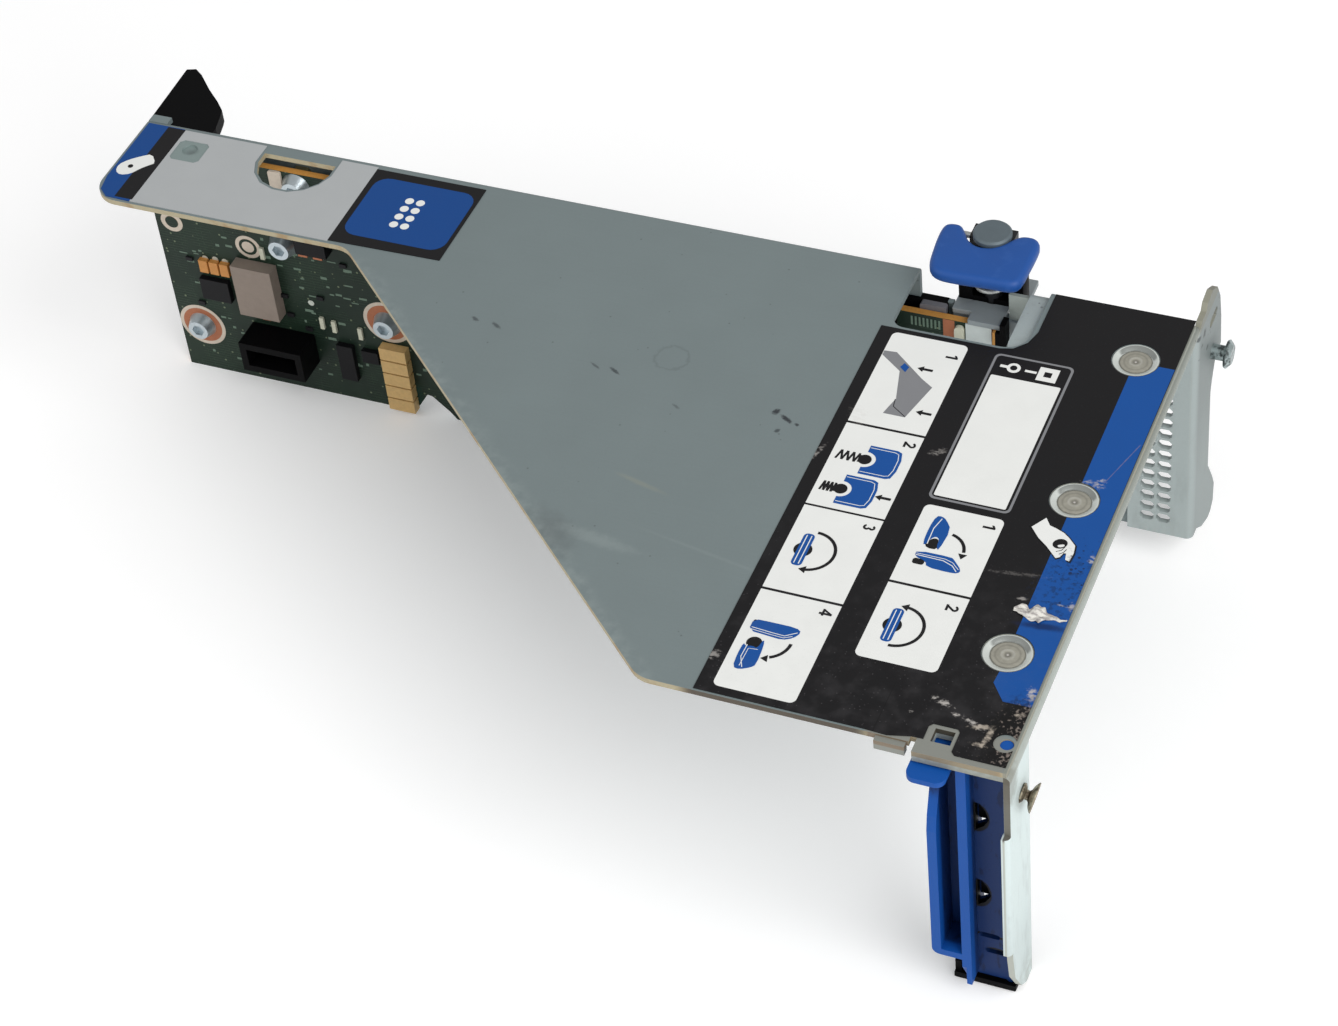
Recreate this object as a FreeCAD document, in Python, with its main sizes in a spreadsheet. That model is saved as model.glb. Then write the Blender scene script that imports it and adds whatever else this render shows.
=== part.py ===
import FreeCAD, Part
import math
import os

import Sketcher

# Riser cage bracket for a rack server, as a parametric document in millimetres.
# X runs along the cage towards its open card end, Y across it towards the riser
# board, Z up. Sizes are measured from a datum on the top cover: X = 0 at the
# card end of its label, Y = 0 at its near edge and Z = 0 on its upper surface.
# frame_x, frame_y and frame_z move that datum, so that the origin of the part
# is at the middle of its footprint, on the surface that it stands on.

SIZES = [
    ("frame_x", 114.1, "datum, from the middle of the footprint"),
    ("frame_y", -67.15, "datum, from the middle of the footprint"),
    ("frame_z", 67.0, "datum, above the surface it stands on"),
    ("sheet", 1.2, "thickness of the steel sheet"),
    ("bend", 1.8, "outer radius of the long bend"),
    ("gap", 0.3, "clearance between neighbours that don't touch"),
    ("cover_far", 120.0, "far side of the cover"),
    ("cover_left", -232.0, "free end of the arm"),
    ("arm_near", 92.5, "near edge of the arm"),
    ("arm_end", -171.5, "where the arm starts to widen"),
    ("wide_start", -68.6, "where the slanted edge meets the near edge"),
    ("near_edge", -0.3, "near edge of the wide part"),
    ("corner_start", -16.8, "left end of the corner tab"),
    ("corner_near", -2.3, "near edge of the corner tab"),
    ("cover_rear", 0.3, "cut edge of the cover at the card end"),
    ("rear_face", 0.9, "outer face of the rear rim, post and flange"),
    ("window_left", -56.5, "left side of the window"),
    ("window_right", -29.2, "right side of the window"),
    ("window_near", 101.2, "near side of the window"),
    ("wall_drop", 58.5, "depth of the far walls below the cover"),
    ("window_drop", 7.4, "depth of the window in the far wall"),
    ("shelf_drop", 8.3, "underside of the stud bracket below the cover"),
    ("frame_drop", 66.5, "depth of the near post"),
    ("rim_drop", 2.7, "depth of the rear rim"),
    ("lip_drop", 4.8, "depth of the small lip at the far corner"),
    ("post_width", 10.7, "width of the near post"),
    ("wall_left", -12.8, "left end of the perforated wall"),
    ("vent_length", 2.95, "length of a vent slot"),
    ("vent_width", 2.35, "height of a vent slot"),
    ("vent_rows", 15, "rows of vent slots"),
    ("vent_pitch", 2.97, "pitch of the vent rows"),
    ("vent_column", 3.45, "pitch of the vent columns"),
    ("clinch_line", -8.0, "line of the three clinch joints"),
    ("clinch_first", 24.5, "near clinch joint"),
    ("clinch_pitch", 40.1, "pitch of the clinch joints"),
    ("clinch_radius", 4.6, "radius of a clinch recess"),
    ("clinch_depth", 0.6, "depth of a clinch recess"),
    ("board_left", -233.5, "left end of the riser board"),
    ("board_right", -40.4, "right end of the riser board"),
    ("board_front", 115.0, "component face of the riser board"),
    ("board_thick", 1.6, "thickness of the riser board"),
    ("board_top", -3.5, "top edge of the board under the arm"),
    ("board_step", -8.5, "top edge of the board at the window"),
    ("board_bottom", -67.0, "bottom edge of the board"),
    ("slot_pitch", 20.32, "pitch of the card slots"),
    ("slot_first", -13.6, "height of the upper card slot"),
    ("slot_left", -149.5, "left end of the card slots"),
    ("slot_margin", 20.0, "from the end of the card slots to the end of the board"),
    ("slot_height", 11.2, "height of a card slot above the board"),
    ("slot_width", 7.6, "width of a card slot"),
    ("key_width", 1.8, "width of the card opening in a slot"),
    ("pivot_x", -1.6, "latch pivot"),
    ("pivot_y", 4.1, "latch pivot"),
    ("pivot_radius", 1.2, "radius of the latch pivot"),
    ("pivot_play", 0.05, "radial clearance of the latch pivot"),
    ("latch_left", -15.2, "left side of the latch"),
    ("latch_front", -1.0, "front of the flange and rib of the latch"),
    ("latch_top", -3.0, "top of the latch"),
    ("latch_wall", 1.8, "thickness of the latch walls"),
    ("foot_thick", 1.5, "thickness of the latch foot"),
    ("stud_x", -42.3, "axis of the locking stud"),
    ("stud_y", 122.5, "axis of the locking stud"),
    ("stud_radius", 2.0, "radius of the locking stud"),
    ("stud_lift", 10.0, "top of the stud head above the cover"),
    ("bail_top", 9.4, "top of the folded handle"),
    ("bail_thick", 3.0, "thickness of the handle"),
    ("bail_wide", 19.6, "width of the handle"),
    ("bail_length", 15.7, "length of the folded handle"),
    ("bail_reach", 1.4, "from the stud's axis to the handle's far end"),
    ("pin_radius", 0.65, "radius of the pin of the handle"),
    ("pin_play", 0.05, "radial clearance of the pin in the yoke"),
    ("collar_radius", 7.0, "radius of the black collar"),
    ("collar_front", 120.5, "flat front of the black collar"),
    ("collar_top", 1.2, "top of the black collar"),
    ("label_thick", 0.15, "thickness of the labels"),
]

doc = FreeCAD.newDocument("RiserCageBracket")
sheet = doc.addObject("Spreadsheet::Sheet", "Dims")
for row, (alias, value, note) in enumerate(SIZES, start=1):
    sheet.set(f"A{row}", alias)
    sheet.set(f"B{row}", str(value))
    sheet.set(f"C{row}", note)
    sheet.setAlias(f"B{row}", alias)
doc.recompute()


class Dim:
    """A size: its value now, and the sheet expression that drives it."""

    def __init__(self, value, text):
        self.value = float(value)
        self.text = text

    def _join(self, other, sign, result):
        return Dim(result, f"({self.text} {sign} {as_dim(other).text})")

    def __add__(self, other):
        return self._join(other, "+", self.value + as_dim(other).value)

    def __sub__(self, other):
        return self._join(other, "-", self.value - as_dim(other).value)

    def __mul__(self, other):
        return self._join(other, "*", self.value * as_dim(other).value)

    def __truediv__(self, other):
        return self._join(other, "/", self.value / as_dim(other).value)

    def __neg__(self):
        return Dim(-self.value, f"(0 - {self.text})")

    def __radd__(self, other):
        return as_dim(other) + self

    def __rsub__(self, other):
        return as_dim(other) - self

    def __rmul__(self, other):
        return as_dim(other) * self


def as_dim(number):
    """A plain number as a Dim."""
    return number if isinstance(number, Dim) else Dim(number, repr(float(number)))


class Sizes:
    """Reads the sheet's cells as Dims: S.sheet, S.cover_far and so on."""

    def __getattr__(self, name):
        return Dim(getattr(sheet, name), f"Dims.{name}")


S = Sizes()
AXES = {"X": FreeCAD.Rotation(FreeCAD.Vector(0, 1, 0), 90),
        "Y": FreeCAD.Rotation(FreeCAD.Vector(1, 0, 0), -90),
        "Z": FreeCAD.Rotation()}
kept = []


def drive(thing, path, dim):
    """Binds one property to the sheet."""
    thing.setExpression(path, as_dim(dim).text)


def place(thing, x=0, y=0, z=0, axis="Z"):
    """Puts an object at a point given from the datum, its own Z along the axis."""
    at = (S.frame_x + x, S.frame_y + y, S.frame_z + z)
    thing.Placement = FreeCAD.Placement(FreeCAD.Vector(*[dim.value for dim in at]), AXES[axis])
    for letter, dim in zip("xyz", at):
        drive(thing, f"Placement.Base.{letter}", dim)


def keep(thing, label):
    """Names a finished sub-part and lists it for export."""
    thing.Label = label
    kept.append(thing)
    return thing


def box(x0, x1, y0, y1, z0, z1):
    """A block between two corners."""
    solid = doc.addObject("Part::Box", "Block")
    for side, low, high in (("Length", x0, x1), ("Width", y0, y1), ("Height", z0, z1)):
        drive(solid, side, as_dim(high) - low)
    place(solid, x0, y0, z0)
    return solid


def rod(radius, length, x, y, z, axis="Z"):
    """A cylinder from a point along an axis."""
    solid = doc.addObject("Part::Cylinder", "Rod")
    drive(solid, "Radius", radius)
    drive(solid, "Height", length)
    place(solid, x, y, z, axis)
    return solid


def cone(radius, top, length, x, y, z, axis="Z"):
    """A cone frustum from a point along an axis."""
    solid = doc.addObject("Part::Cone", "Taper")
    drive(solid, "Radius1", radius)
    drive(solid, "Radius2", top)
    drive(solid, "Height", length)
    place(solid, x, y, z, axis)
    return solid


def prism(radius, length, x, y, z, axis="Z"):
    """A hexagonal prism from a point along an axis."""
    solid = doc.addObject("Part::Prism", "Hexagon")
    solid.Polygon = 6
    drive(solid, "Circumradius", radius)
    drive(solid, "Height", length)
    place(solid, x, y, z, axis)
    return solid


def fuse(*shapes):
    """One solid of several."""
    solid = doc.addObject("Part::MultiFuse", "Fused")
    solid.Shapes = list(shapes)
    solid.Refine = True
    return solid


def cut(base, *tools):
    """A solid less its tools."""
    solid = doc.addObject("Part::Cut", "Cut")
    solid.Base = base
    solid.Tool = tools[0] if len(tools) == 1 else fuse(*tools)
    return solid


def group(*solids):
    """Identical pieces that share one node as separate solids."""
    several = doc.addObject("Part::Compound", "Group")
    several.Links = list(solids)
    return several


def new_body(label):
    """A body at the datum."""
    body = doc.addObject("PartDesign::Body", "Body")
    doc.recompute()
    place(body)
    return keep(body, label)


def origin_part(body, role):
    """One plane or axis of a body's own origin."""
    return [item for item in body.Origin.OriginFeatures if item.Role == role][0]


def new_sketch(body, plane, offset):
    """A sketch on a plane of its body, moved along the plane's normal."""
    sketch = body.newObject("Sketcher::SketchObject", "Sketch")
    sketch.AttachmentSupport = [(origin_part(body, plane), "")]
    sketch.MapMode = "FlatFace"
    offset = as_dim(offset)
    sketch.AttachmentOffset = FreeCAD.Placement(FreeCAD.Vector(0, 0, offset.value), FreeCAD.Rotation())
    drive(sketch, "AttachmentOffset.Base.z", offset)
    return sketch


def fix_point(sketch, geometry, end, x, y):
    """Ties one point of a sketch to the sheet."""
    for kind, dim in (("DistanceX", as_dim(x)), ("DistanceY", as_dim(y))):
        index = sketch.addConstraint(
            Sketcher.Constraint(kind, -1, 1, geometry, end, dim.value))
        sketch.setExpression(f"Constraints[{index}]", dim.text)


def outline(body, plane, points, offset=0):
    """A sketch of a closed outline of straight lines."""
    sketch = new_sketch(body, plane, offset)
    corners = [FreeCAD.Vector(as_dim(x).value, as_dim(y).value, 0) for x, y in points]
    for index, corner in enumerate(corners):
        following = corners[(index + 1) % len(corners)]
        sketch.addGeometry(Part.LineSegment(corner, following), False)
    for index in range(len(corners)):
        sketch.addConstraint(
            Sketcher.Constraint("Coincident", index, 2, (index + 1) % len(corners), 1))
    for index, (x, y) in enumerate(points):
        fix_point(sketch, index, 1, x, y)
    return sketch


def rectangle(x0, x1, y0, y1):
    """The corners of a rectangle, for outline()."""
    return [(x0, y0), (x1, y0), (x1, y1), (x0, y1)]


def circles(body, plane, centres, radius, offset=0):
    """A sketch of equal circles."""
    sketch = new_sketch(body, plane, offset)
    for x, y in centres:
        centre = FreeCAD.Vector(as_dim(x).value, as_dim(y).value, 0)
        index = sketch.addGeometry(
            Part.Circle(centre, FreeCAD.Vector(0, 0, 1), as_dim(radius).value), False)
        fix_point(sketch, index, 3, x, y)
        tie = sketch.addConstraint(
            Sketcher.Constraint("Radius", index, as_dim(radius).value))
        sketch.setExpression(f"Constraints[{tie}]", as_dim(radius).text)
    return sketch


def vent(x, y):
    """The corners of a vent slot, whose ends are bevelled."""
    half, rise = S.vent_length / 2, S.vent_width / 2
    bevel = rise * 0.55
    return [(x - half, y - rise + bevel), (x - half + bevel, y - rise), (x + half - bevel, y - rise),
            (x + half, y - rise + bevel), (x + half, y + rise - bevel), (x + half - bevel, y + rise),
            (x - half + bevel, y + rise), (x - half, y + rise - bevel)]


def slots(body, plane, centres, length, width, offset=0):
    """A sketch of equal slots with round ends, along the sketch's X."""
    sketch = new_sketch(body, plane, offset)
    normal = FreeCAD.Vector(0, 0, 1)
    half, radius = (as_dim(length) - width) / 2, as_dim(width) / 2
    for x, y in centres:
        left = FreeCAD.Vector((as_dim(x) - half).value, as_dim(y).value, 0)
        right = FreeCAD.Vector((as_dim(x) + half).value, as_dim(y).value, 0)
        rise = FreeCAD.Vector(0, radius.value, 0)
        arc = sketch.addGeometry(Part.ArcOfCircle(
            Part.Circle(left, normal, radius.value), math.pi / 2, 3 * math.pi / 2), False)
        sketch.addGeometry(Part.ArcOfCircle(
            Part.Circle(right, normal, radius.value), -math.pi / 2, math.pi / 2), False)
        sketch.addGeometry(Part.LineSegment(left - rise, right - rise), False)
        sketch.addGeometry(Part.LineSegment(right + rise, left + rise), False)
        for first, first_end, second, second_end in ((0, 2, 2, 1), (2, 2, 1, 1), (1, 2, 3, 1), (3, 2, 0, 1)):
            sketch.addConstraint(Sketcher.Constraint(
                "Tangent", arc + first, first_end, arc + second, second_end))
        sketch.addConstraint(Sketcher.Constraint("Equal", arc, arc + 1))
        fix_point(sketch, arc, 3, as_dim(x) - half, y)
        fix_point(sketch, arc + 1, 3, as_dim(x) + half, y)
        tie = sketch.addConstraint(Sketcher.Constraint("Radius", arc, radius.value))
        sketch.setExpression(f"Constraints[{tie}]", radius.text)
    return sketch


def pad(body, sketch, length, reverse=False):
    """Adds a sketch's outline to its body."""
    feature = body.newObject("PartDesign::Pad", "Pad")
    feature.Profile = sketch
    drive(feature, "Length", length)
    feature.Reversed = reverse
    sketch.Visibility = False
    doc.recompute()
    return feature


def pocket(body, sketch, length, reverse=False):
    """Cuts a sketch's outline out of its body, and proves that it cut something."""
    before = body.Shape.Volume
    feature = body.newObject("PartDesign::Pocket", "Pocket")
    feature.Profile = sketch
    drive(feature, "Length", length)
    feature.Reversed = reverse
    sketch.Visibility = False
    doc.recompute()
    if body.Shape.Volume >= before - 1e-6:
        raise RuntimeError(f"a pocket of {body.Label} cuts nothing")
    return feature


def round_edges(body, radius, chosen):
    """Rounds the edges of a body that a test picks."""
    base = body.Tip
    names = [f"Edge{index}" for index, edge in enumerate(base.Shape.Edges, start=1) if chosen(edge)]
    if not names:
        raise RuntimeError(f"{body.Label} has no such edge to round")
    feature = body.newObject("PartDesign::Fillet", "Fillet")
    feature.Base = (base, names)
    drive(feature, "Radius", radius)
    doc.recompute()
    return feature


def along(axis, length=0.0, **limits):
    """A test for straight edges along an axis whose middle lies within limits."""
    def chosen(edge):
        if not isinstance(edge.Curve, (Part.Line, Part.LineSegment)) or edge.Length < length:
            return False
        first, last = edge.Vertexes[0].Point, edge.Vertexes[-1].Point
        if abs(getattr(last - first, axis)) < 0.99 * edge.Length:
            return False
        middle = (first + last) * 0.5
        return all(low.value <= getattr(middle, name) <= high.value
                   for name, (low, high) in limits.items())
    return chosen


def near(dim, slack=0.2):
    """A narrow span around a size."""
    dim = as_dim(dim)
    return dim - slack, dim + slack


def edge_at(axis, **at):
    """A test for straight edges along an axis at given coordinates."""
    return along(axis, **{name: near(dim) for name, dim in at.items()})


def both(*tests):
    """A test that passes where any of several does."""
    return lambda edge: any(test(edge) for test in tests)


def clinches():
    """Centres of the three clinch joints."""
    return [(S.clinch_line, S.clinch_first + S.clinch_pitch * step) for step in range(3)]


def make_top_cover():
    """Folded cover: arm, wide plate, far wall, window, and the cut-outs for hands and latch."""
    body = new_body("top_cover")
    left, far = S.cover_left, S.cover_far
    lip_end = S.rear_face - S.sheet - S.gap
    plate = outline(body, "XY_Plane", [
        (left, far), (left, S.arm_near), (S.arm_end, S.arm_near),
        (S.wide_start, S.near_edge), (S.corner_start - 1.1, S.near_edge),
        (S.corner_start - 1.1, S.near_edge + 1.2), (S.corner_start, S.near_edge + 1.2),
        (S.corner_start, S.corner_near), (S.cover_rear, S.corner_near),
        (S.cover_rear, far - S.bend * 1.5), (lip_end, far - S.bend * 1.5), (lip_end, far),
        (S.window_right, far), (S.window_right, S.window_near),
        (S.window_left, S.window_near), (S.window_left, far)], -S.sheet)
    pad(body, plate, S.sheet)
    wall = outline(body, "XZ_Plane", rectangle(left, S.window_left, -S.wall_drop, 0), -far)
    pad(body, wall, S.sheet)
    shelf_left = S.stud_x - S.collar_radius - S.gap
    low = outline(body, "XZ_Plane", [
        (S.window_left - 1, -S.wall_drop), (S.window_right + 1, -S.wall_drop),
        (S.window_right + 1, -S.shelf_drop), (shelf_left, -S.shelf_drop),
        (shelf_left, -S.window_drop), (S.window_left - 1, -S.window_drop)], -far)
    pad(body, low, S.sheet)
    high = outline(body, "XZ_Plane", rectangle(S.window_right, S.wall_left - S.gap,
                                               -S.wall_drop, 0), -far)
    pad(body, high, S.sheet)
    lip = outline(body, "XZ_Plane", rectangle(S.wall_left - S.gap - 1, lip_end, -S.lip_drop, 0), -far)
    pad(body, lip, S.sheet)
    tab = outline(body, "XZ_Plane", rectangle(-24.0, -18.4, -2.6, -0.4), 1.5)
    pad(body, tab, 1.4, reverse=True)
    round_edges(body, S.bend, along("x", 20, y=near(far), z=near(0)))
    round_edges(body, 6.0, both(edge_at("z", x=left, y=S.arm_near),
                                edge_at("z", x=S.arm_end, y=S.arm_near),
                                edge_at("z", x=S.wide_start, y=S.near_edge)))
    round_edges(body, 2.6, edge_at("z", x=S.window_left, y=S.window_near))
    round_edges(body, 5.0, edge_at("z", x=S.window_right, y=S.window_near))
    pocket(body, circles(body, "XY_Plane", clinches(), S.clinch_radius), S.clinch_depth)
    catch = outline(body, "XY_Plane", rectangle(-14.4, -10.8, 0.9, 4.0))
    pocket(body, catch, S.sheet)
    pivot = circles(body, "XY_Plane", [(S.pivot_x, S.pivot_y)], S.pivot_radius + S.pivot_play)
    pocket(body, pivot, S.sheet)
    corner = outline(body, "XY_Plane", rectangle(left, left + 4.5, far - 1, far + 1.3), -S.sheet)
    pad(body, corner, S.sheet)
    finger = outline(body, "XY_Plane", [
        (-202.0, 115.8), (-202.0, 112.6), (-200.6, 109.3), (-198.2, 107.0), (-194.9, 105.8),
        (-191.5, 105.8), (-188.4, 107.2), (-186.2, 109.6), (-185.2, 112.6), (-185.2, 115.8)])
    pocket(body, finger, S.sheet)
    pocket(body, circles(body, "XY_Plane", [(-218.4, 112.4)], 1.7), 0.5)
    return body


def make_rear_frame():
    """Folded frame under the card end: panel, rim, near post, vented wall and outer flange."""
    body = new_body("rear_frame")
    rear, inner = S.rear_face, S.rear_face - S.sheet
    wall = S.cover_far - S.sheet
    bottom = -S.frame_drop
    panel = outline(body, "XY_Plane", [
        (rear, S.corner_near), (rear, wall), (S.window_right - 4.2, wall),
        (S.window_right - 4.2, S.window_near + 3.0), (S.window_right - 3.0, S.window_near - 4),
        (S.corner_start, 84.0), (S.corner_start, S.corner_near)], -S.sheet * 2)
    pad(body, panel, S.sheet)
    rim = outline(body, "YZ_Plane", rectangle(S.corner_near, wall, -S.rim_drop, -S.sheet), inner)
    pad(body, rim, S.sheet)
    round_edges(body, 1.0, along("y", 60, x=near(rear), z=near(-S.sheet)))
    post_far = S.corner_near + S.post_width
    post = outline(body, "YZ_Plane", [
        (S.corner_near, -S.sheet * 2), (S.corner_near, bottom + 15.5),
        (S.corner_near + 1.0, bottom + 9.0), (S.corner_near + 4.5, bottom + 2.5), (S.corner_near + 7.5, bottom), (post_far, bottom),
        (post_far, -S.sheet * 2)], inner)
    pad(body, post, S.sheet)
    lip = outline(body, "XZ_Plane", rectangle(rear - 1.5, rear, bottom + 17.5, -16.5), 3.4)
    pad(body, lip, 1.6, reverse=True)
    vented = outline(body, "XZ_Plane",
                     rectangle(S.wall_left, rear, -S.wall_drop, -S.sheet * 1.5), -wall)
    pad(body, vented, S.sheet)
    flange = outline(body, "YZ_Plane", [
        (wall - S.sheet, -S.wall_drop), (wall - S.sheet, -S.sheet * 1.5), (wall, -S.sheet * 1.5),
        (wall + 1.3, -0.9), (wall + 4.2, -0.9), (wall + 5.2, 0.6), (wall + 8.7, 1.0),
        (wall + 12.6, -1.3), (wall + 15.0, -5.5), (wall + 16.4, -12.0), (wall + 17.0, -19.5),
        (wall + 12.6, -20.7), (wall + 10.7, -24.5), (wall + 9.9, -27.0), (wall + 10.1, -47.5),
        (wall + 14.4, -54.8), (wall + 15.8, -57.8), (wall + 15.5, -62.4), (wall + 13.6, -64.0),
        (wall + 11.5, -64.0), (wall + 6.5, -61.8), (wall + 2.4, -S.wall_drop)], inner)
    pad(body, flange, S.sheet)
    round_edges(body, 1.0, along("z", 20, x=near(rear), y=near(-3.4)))
    round_edges(body, 1.5, along("z", 40, x=near(rear), y=near(wall - S.sheet)))
    eyelet = slots(body, "YZ_Plane", [(wall + 10.2, -7.2)], 5.6, 2.2, inner - 1)
    pocket(body, eyelet, S.sheet + 3, reverse=True)
    catch = outline(body, "XY_Plane", rectangle(-14.4, -10.8, 0.9, 4.0), -S.sheet)
    pocket(body, catch, S.sheet)
    pivot = circles(body, "XY_Plane", [(S.pivot_x, S.pivot_y)],
                    S.pivot_radius + S.pivot_play, -S.sheet)
    pocket(body, pivot, S.sheet)
    for column in range(2):
        corners = vent(-5.3 - S.vent_column * column, -S.wall_drop + 4.5)
        first = pocket(body, outline(body, "XZ_Plane", corners, -wall + S.sheet + 0.5), S.sheet + 1)
        rows = body.newObject("PartDesign::LinearPattern", "VentRows")
        rows.Originals = [first]
        rows.Direction = (origin_part(body, "Z_Axis"), [""])
        drive(rows, "Length", S.vent_pitch * (S.vent_rows - 1))
        drive(rows, "Occurrences", S.vent_rows)
        body.Tip = rows
        doc.recompute()
    return body


def make_clinch_buttons():
    """The round buttons pressed up in the clinch recesses."""
    buttons = []
    for x, y in clinches():
        buttons.append(rod(S.clinch_radius - 1.1, S.clinch_depth - 0.1, x, y, -S.clinch_depth))
    keep(group(*buttons), "clinch_buttons")


def make_rear_studs():
    """Two mushroom studs on the card end; the near one has a bent, hollow head."""
    shank = rod(1.6, 3.0, S.rear_face, 129.0, -16.2, "X")
    neck = cone(2.8, 3.0, 0.4, S.rear_face + 2.8, 129.0, -16.2, "X")
    head = cone(3.0, 2.0, 0.9, S.rear_face + 3.2, 129.0, -16.2, "X")
    keep(fuse(shank, neck, head), "far_stud")
    shank = rod(1.4, 2.0, S.rear_face, 4.2, -11.9, "X")
    collar = cone(2.4, 1.4, 0.8, S.rear_face, 4.2, -11.9, "X")
    cup = cone(1.5, 3.2, 1.5, S.rear_face + 1.2, 4.2, -11.5, "X")
    hollow = cone(0.7, 2.7, 1.31, S.rear_face + 1.4, 4.2, -11.5, "X")
    for part in (cup, hollow):
        part.Placement.Rotation = FreeCAD.Rotation(FreeCAD.Vector(0, 1, 0.2), 105)
    keep(fuse(shank, collar, cut(cup, hollow)), "near_stud")


def make_corner_guide():
    """Black moulded guide that points outwards from the far end of the arm."""
    body = new_body("corner_guide")
    left, far = S.cover_left, S.cover_far
    plan = outline(body, "XY_Plane", [
        (left - 1.0, far + S.sheet + 0.1), (left - 1.6, far + 19.2), (left + 0.4, far + 19.9),
        (left + 2.6, far + 18.3), (left + 6.8, far + 14.0), (left + 10.6, far + 10.6),
        (left + 12.9, far + 8.2), (left + 13.4, far + 6.8), (left + 14.6, far + 2.0),
        (left + 14.6, far), (left + 4.5, far), (left + 4.5, far + 1.3)], -4.4)
    pad(body, plan, 3.1)
    root = outline(body, "XZ_Plane", rectangle(left + 4.5, left + 14.6, -16.0, -4.4), -far)
    pad(body, root, 2.4, reverse=True)
    return body


def make_card_latch():
    """Blue hinged latch that holds the card brackets in the near post."""
    body = new_body("card_latch")
    left, front, top = S.latch_left, S.latch_front, S.latch_top
    wall, bottom = S.latch_wall, -S.frame_drop + S.foot_thick + 0.4
    face, back = S.pivot_y - 1.0, S.pivot_y + 1.0
    rib, channel, deep = -9.4, bottom + 8.0, S.pivot_y + 3.0
    pad(body, outline(body, "XY_Plane", rectangle(rib, S.pivot_x, face, back), bottom),
        top - bottom)
    pad(body, outline(body, "XY_Plane", rectangle(left, left + wall, front, deep), channel),
        top - channel)
    pad(body, outline(body, "XY_Plane", rectangle(left, rib + wall, deep - 1.2, deep), channel),
        top - channel)
    pad(body, outline(body, "XY_Plane", rectangle(rib, rib + wall, front, deep), bottom + 1.2),
        top - bottom - 1.2)
    pad(body, outline(body, "XY_Plane", rectangle(left, rib + wall, front, deep), channel), 1.6)
    pad(body, outline(body, "XY_Plane", rectangle(left, rib + wall, front + 4.0, deep), top - 1.2),
        1.2)
    pad(body, outline(body, "XY_Plane", rectangle(left - 2.0, left + 5.1, -5.6, front + 5.0),
                      top - 1.2), 1.2)
    pad(body, outline(body, "XY_Plane", rectangle(-14.2, -11.0, 0.9, 2.9), top), 0.3)
    taper = outline(body, "YZ_Plane", [(front - 1, top - 19), (front, top - 19),
                                       (front + 0.6, top - 15.5), (front + 2.4, top - 10.3),
                                       (front + 3.4, top - 6.6), (front + 3.4, top - 1.2),
                                       (front - 1, top - 1.2)], left - 0.5)
    pocket(body, taper, wall + 1, reverse=True)
    tip = outline(body, "YZ_Plane", [(front - 1, bottom), (deep + 1, bottom), (deep + 1, bottom + 1.6),
                                     (face, bottom + 1.6), (front + 2.2, bottom + 1.2),
                                     (front, bottom + 6.0), (front - 1, bottom + 6.0)], rib - 0.1)
    pocket(body, tip, 0.9, reverse=True)
    for step in range(2):
        z = -20.0 - (S.slot_pitch + 0.8) * step
        hole = outline(body, "XZ_Plane", [
            (-7.4, z - 3.4), (-5.9, z - 2.1), (-4.9, z - 0.2), (-5.5, z + 2.0), (-6.5, z + 3.6),
            (-7.4, z + 3.9)], -(face - 0.5))
        pocket(body, hole, 3.0)
    for x, z, wide in ((-5.4, bottom + 11.7, 4.0), (-4.4, bottom + 7.4, 3.8)):
        pocket(body, slots(body, "XZ_Plane", [(x, z)], wide, 1.3, -(face - 0.5)), 3.0)
    round_edges(body, 1.8, both(edge_at("z", x=left - 2.0, y=-5.6),
                                edge_at("z", x=left + 5.1, y=-5.6)))
    round_edges(body, 1.5, edge_at("y", x=left, z=channel))
    barrel = circles(body, "XY_Plane", [(S.pivot_x, S.pivot_y)], 1.0, bottom - 1.0)
    pad(body, barrel, top - bottom + 1.0)
    stub = circles(body, "XY_Plane", [(S.pivot_x, S.pivot_y)], S.pivot_radius, top)
    pad(body, stub, -top - 0.3)
    return body


def make_latch_liner():
    """Black strips behind the two openings of the latch; a slit stays open below each."""
    back = S.pivot_y + 1.0
    strips = []
    for step in range(2):
        z = -20.0 - (S.slot_pitch + 0.8) * step
        strips.append(box(-9.4 + S.latch_wall, -4.3, back, back + 0.6, z - 2.3, z + 4.6))
    keep(group(*strips), "latch_liner")


def make_latch_foot():
    """Black foot under the near post, with the lower bearing of the latch."""
    near_side, bottom = 2.2, -S.frame_drop
    top = bottom + S.foot_thick
    plate = box(-12.2, S.rear_face - S.sheet, near_side, 8.4, bottom, top)
    block = box(-12.2, -10.9, near_side + 0.6, 8.4, top - 0.2, top + 2.8)
    bearing = rod(1.05, 5, S.pivot_x, S.pivot_y, bottom - 1)
    keep(cut(fuse(plate, block), bearing), "latch_foot")


def make_riser_board():
    """Circuit board that stands behind the arm and along the far wall."""
    body = new_body("riser_board")
    left, right = S.board_left, S.board_right
    bottom, front = S.board_bottom, S.board_front
    edge = outline(body, "XZ_Plane", [
        (left, bottom), (-177.5, bottom), (-175.0, bottom + 2.0), (-172.6, bottom + 5.8),
        (-171.4, bottom + 5.6), (-167.6, bottom + 2.0), (-166.0, bottom),
        (right, bottom), (right, S.board_step),
        (S.window_left - 6.0, S.board_step), (S.window_left - 8.0, S.board_top),
        (left, S.board_top)], -front)
    pad(body, edge, S.board_thick, reverse=True)
    return body


SCREWS = [(-227.8, -54.0), (-179.4, -41.9), (-201.9, -24.6), (-195.4, -7.0),
          (-156.5, -30.0), (-156.5, -52.0), (S.board_right - 4.2, -50.0)]


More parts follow.
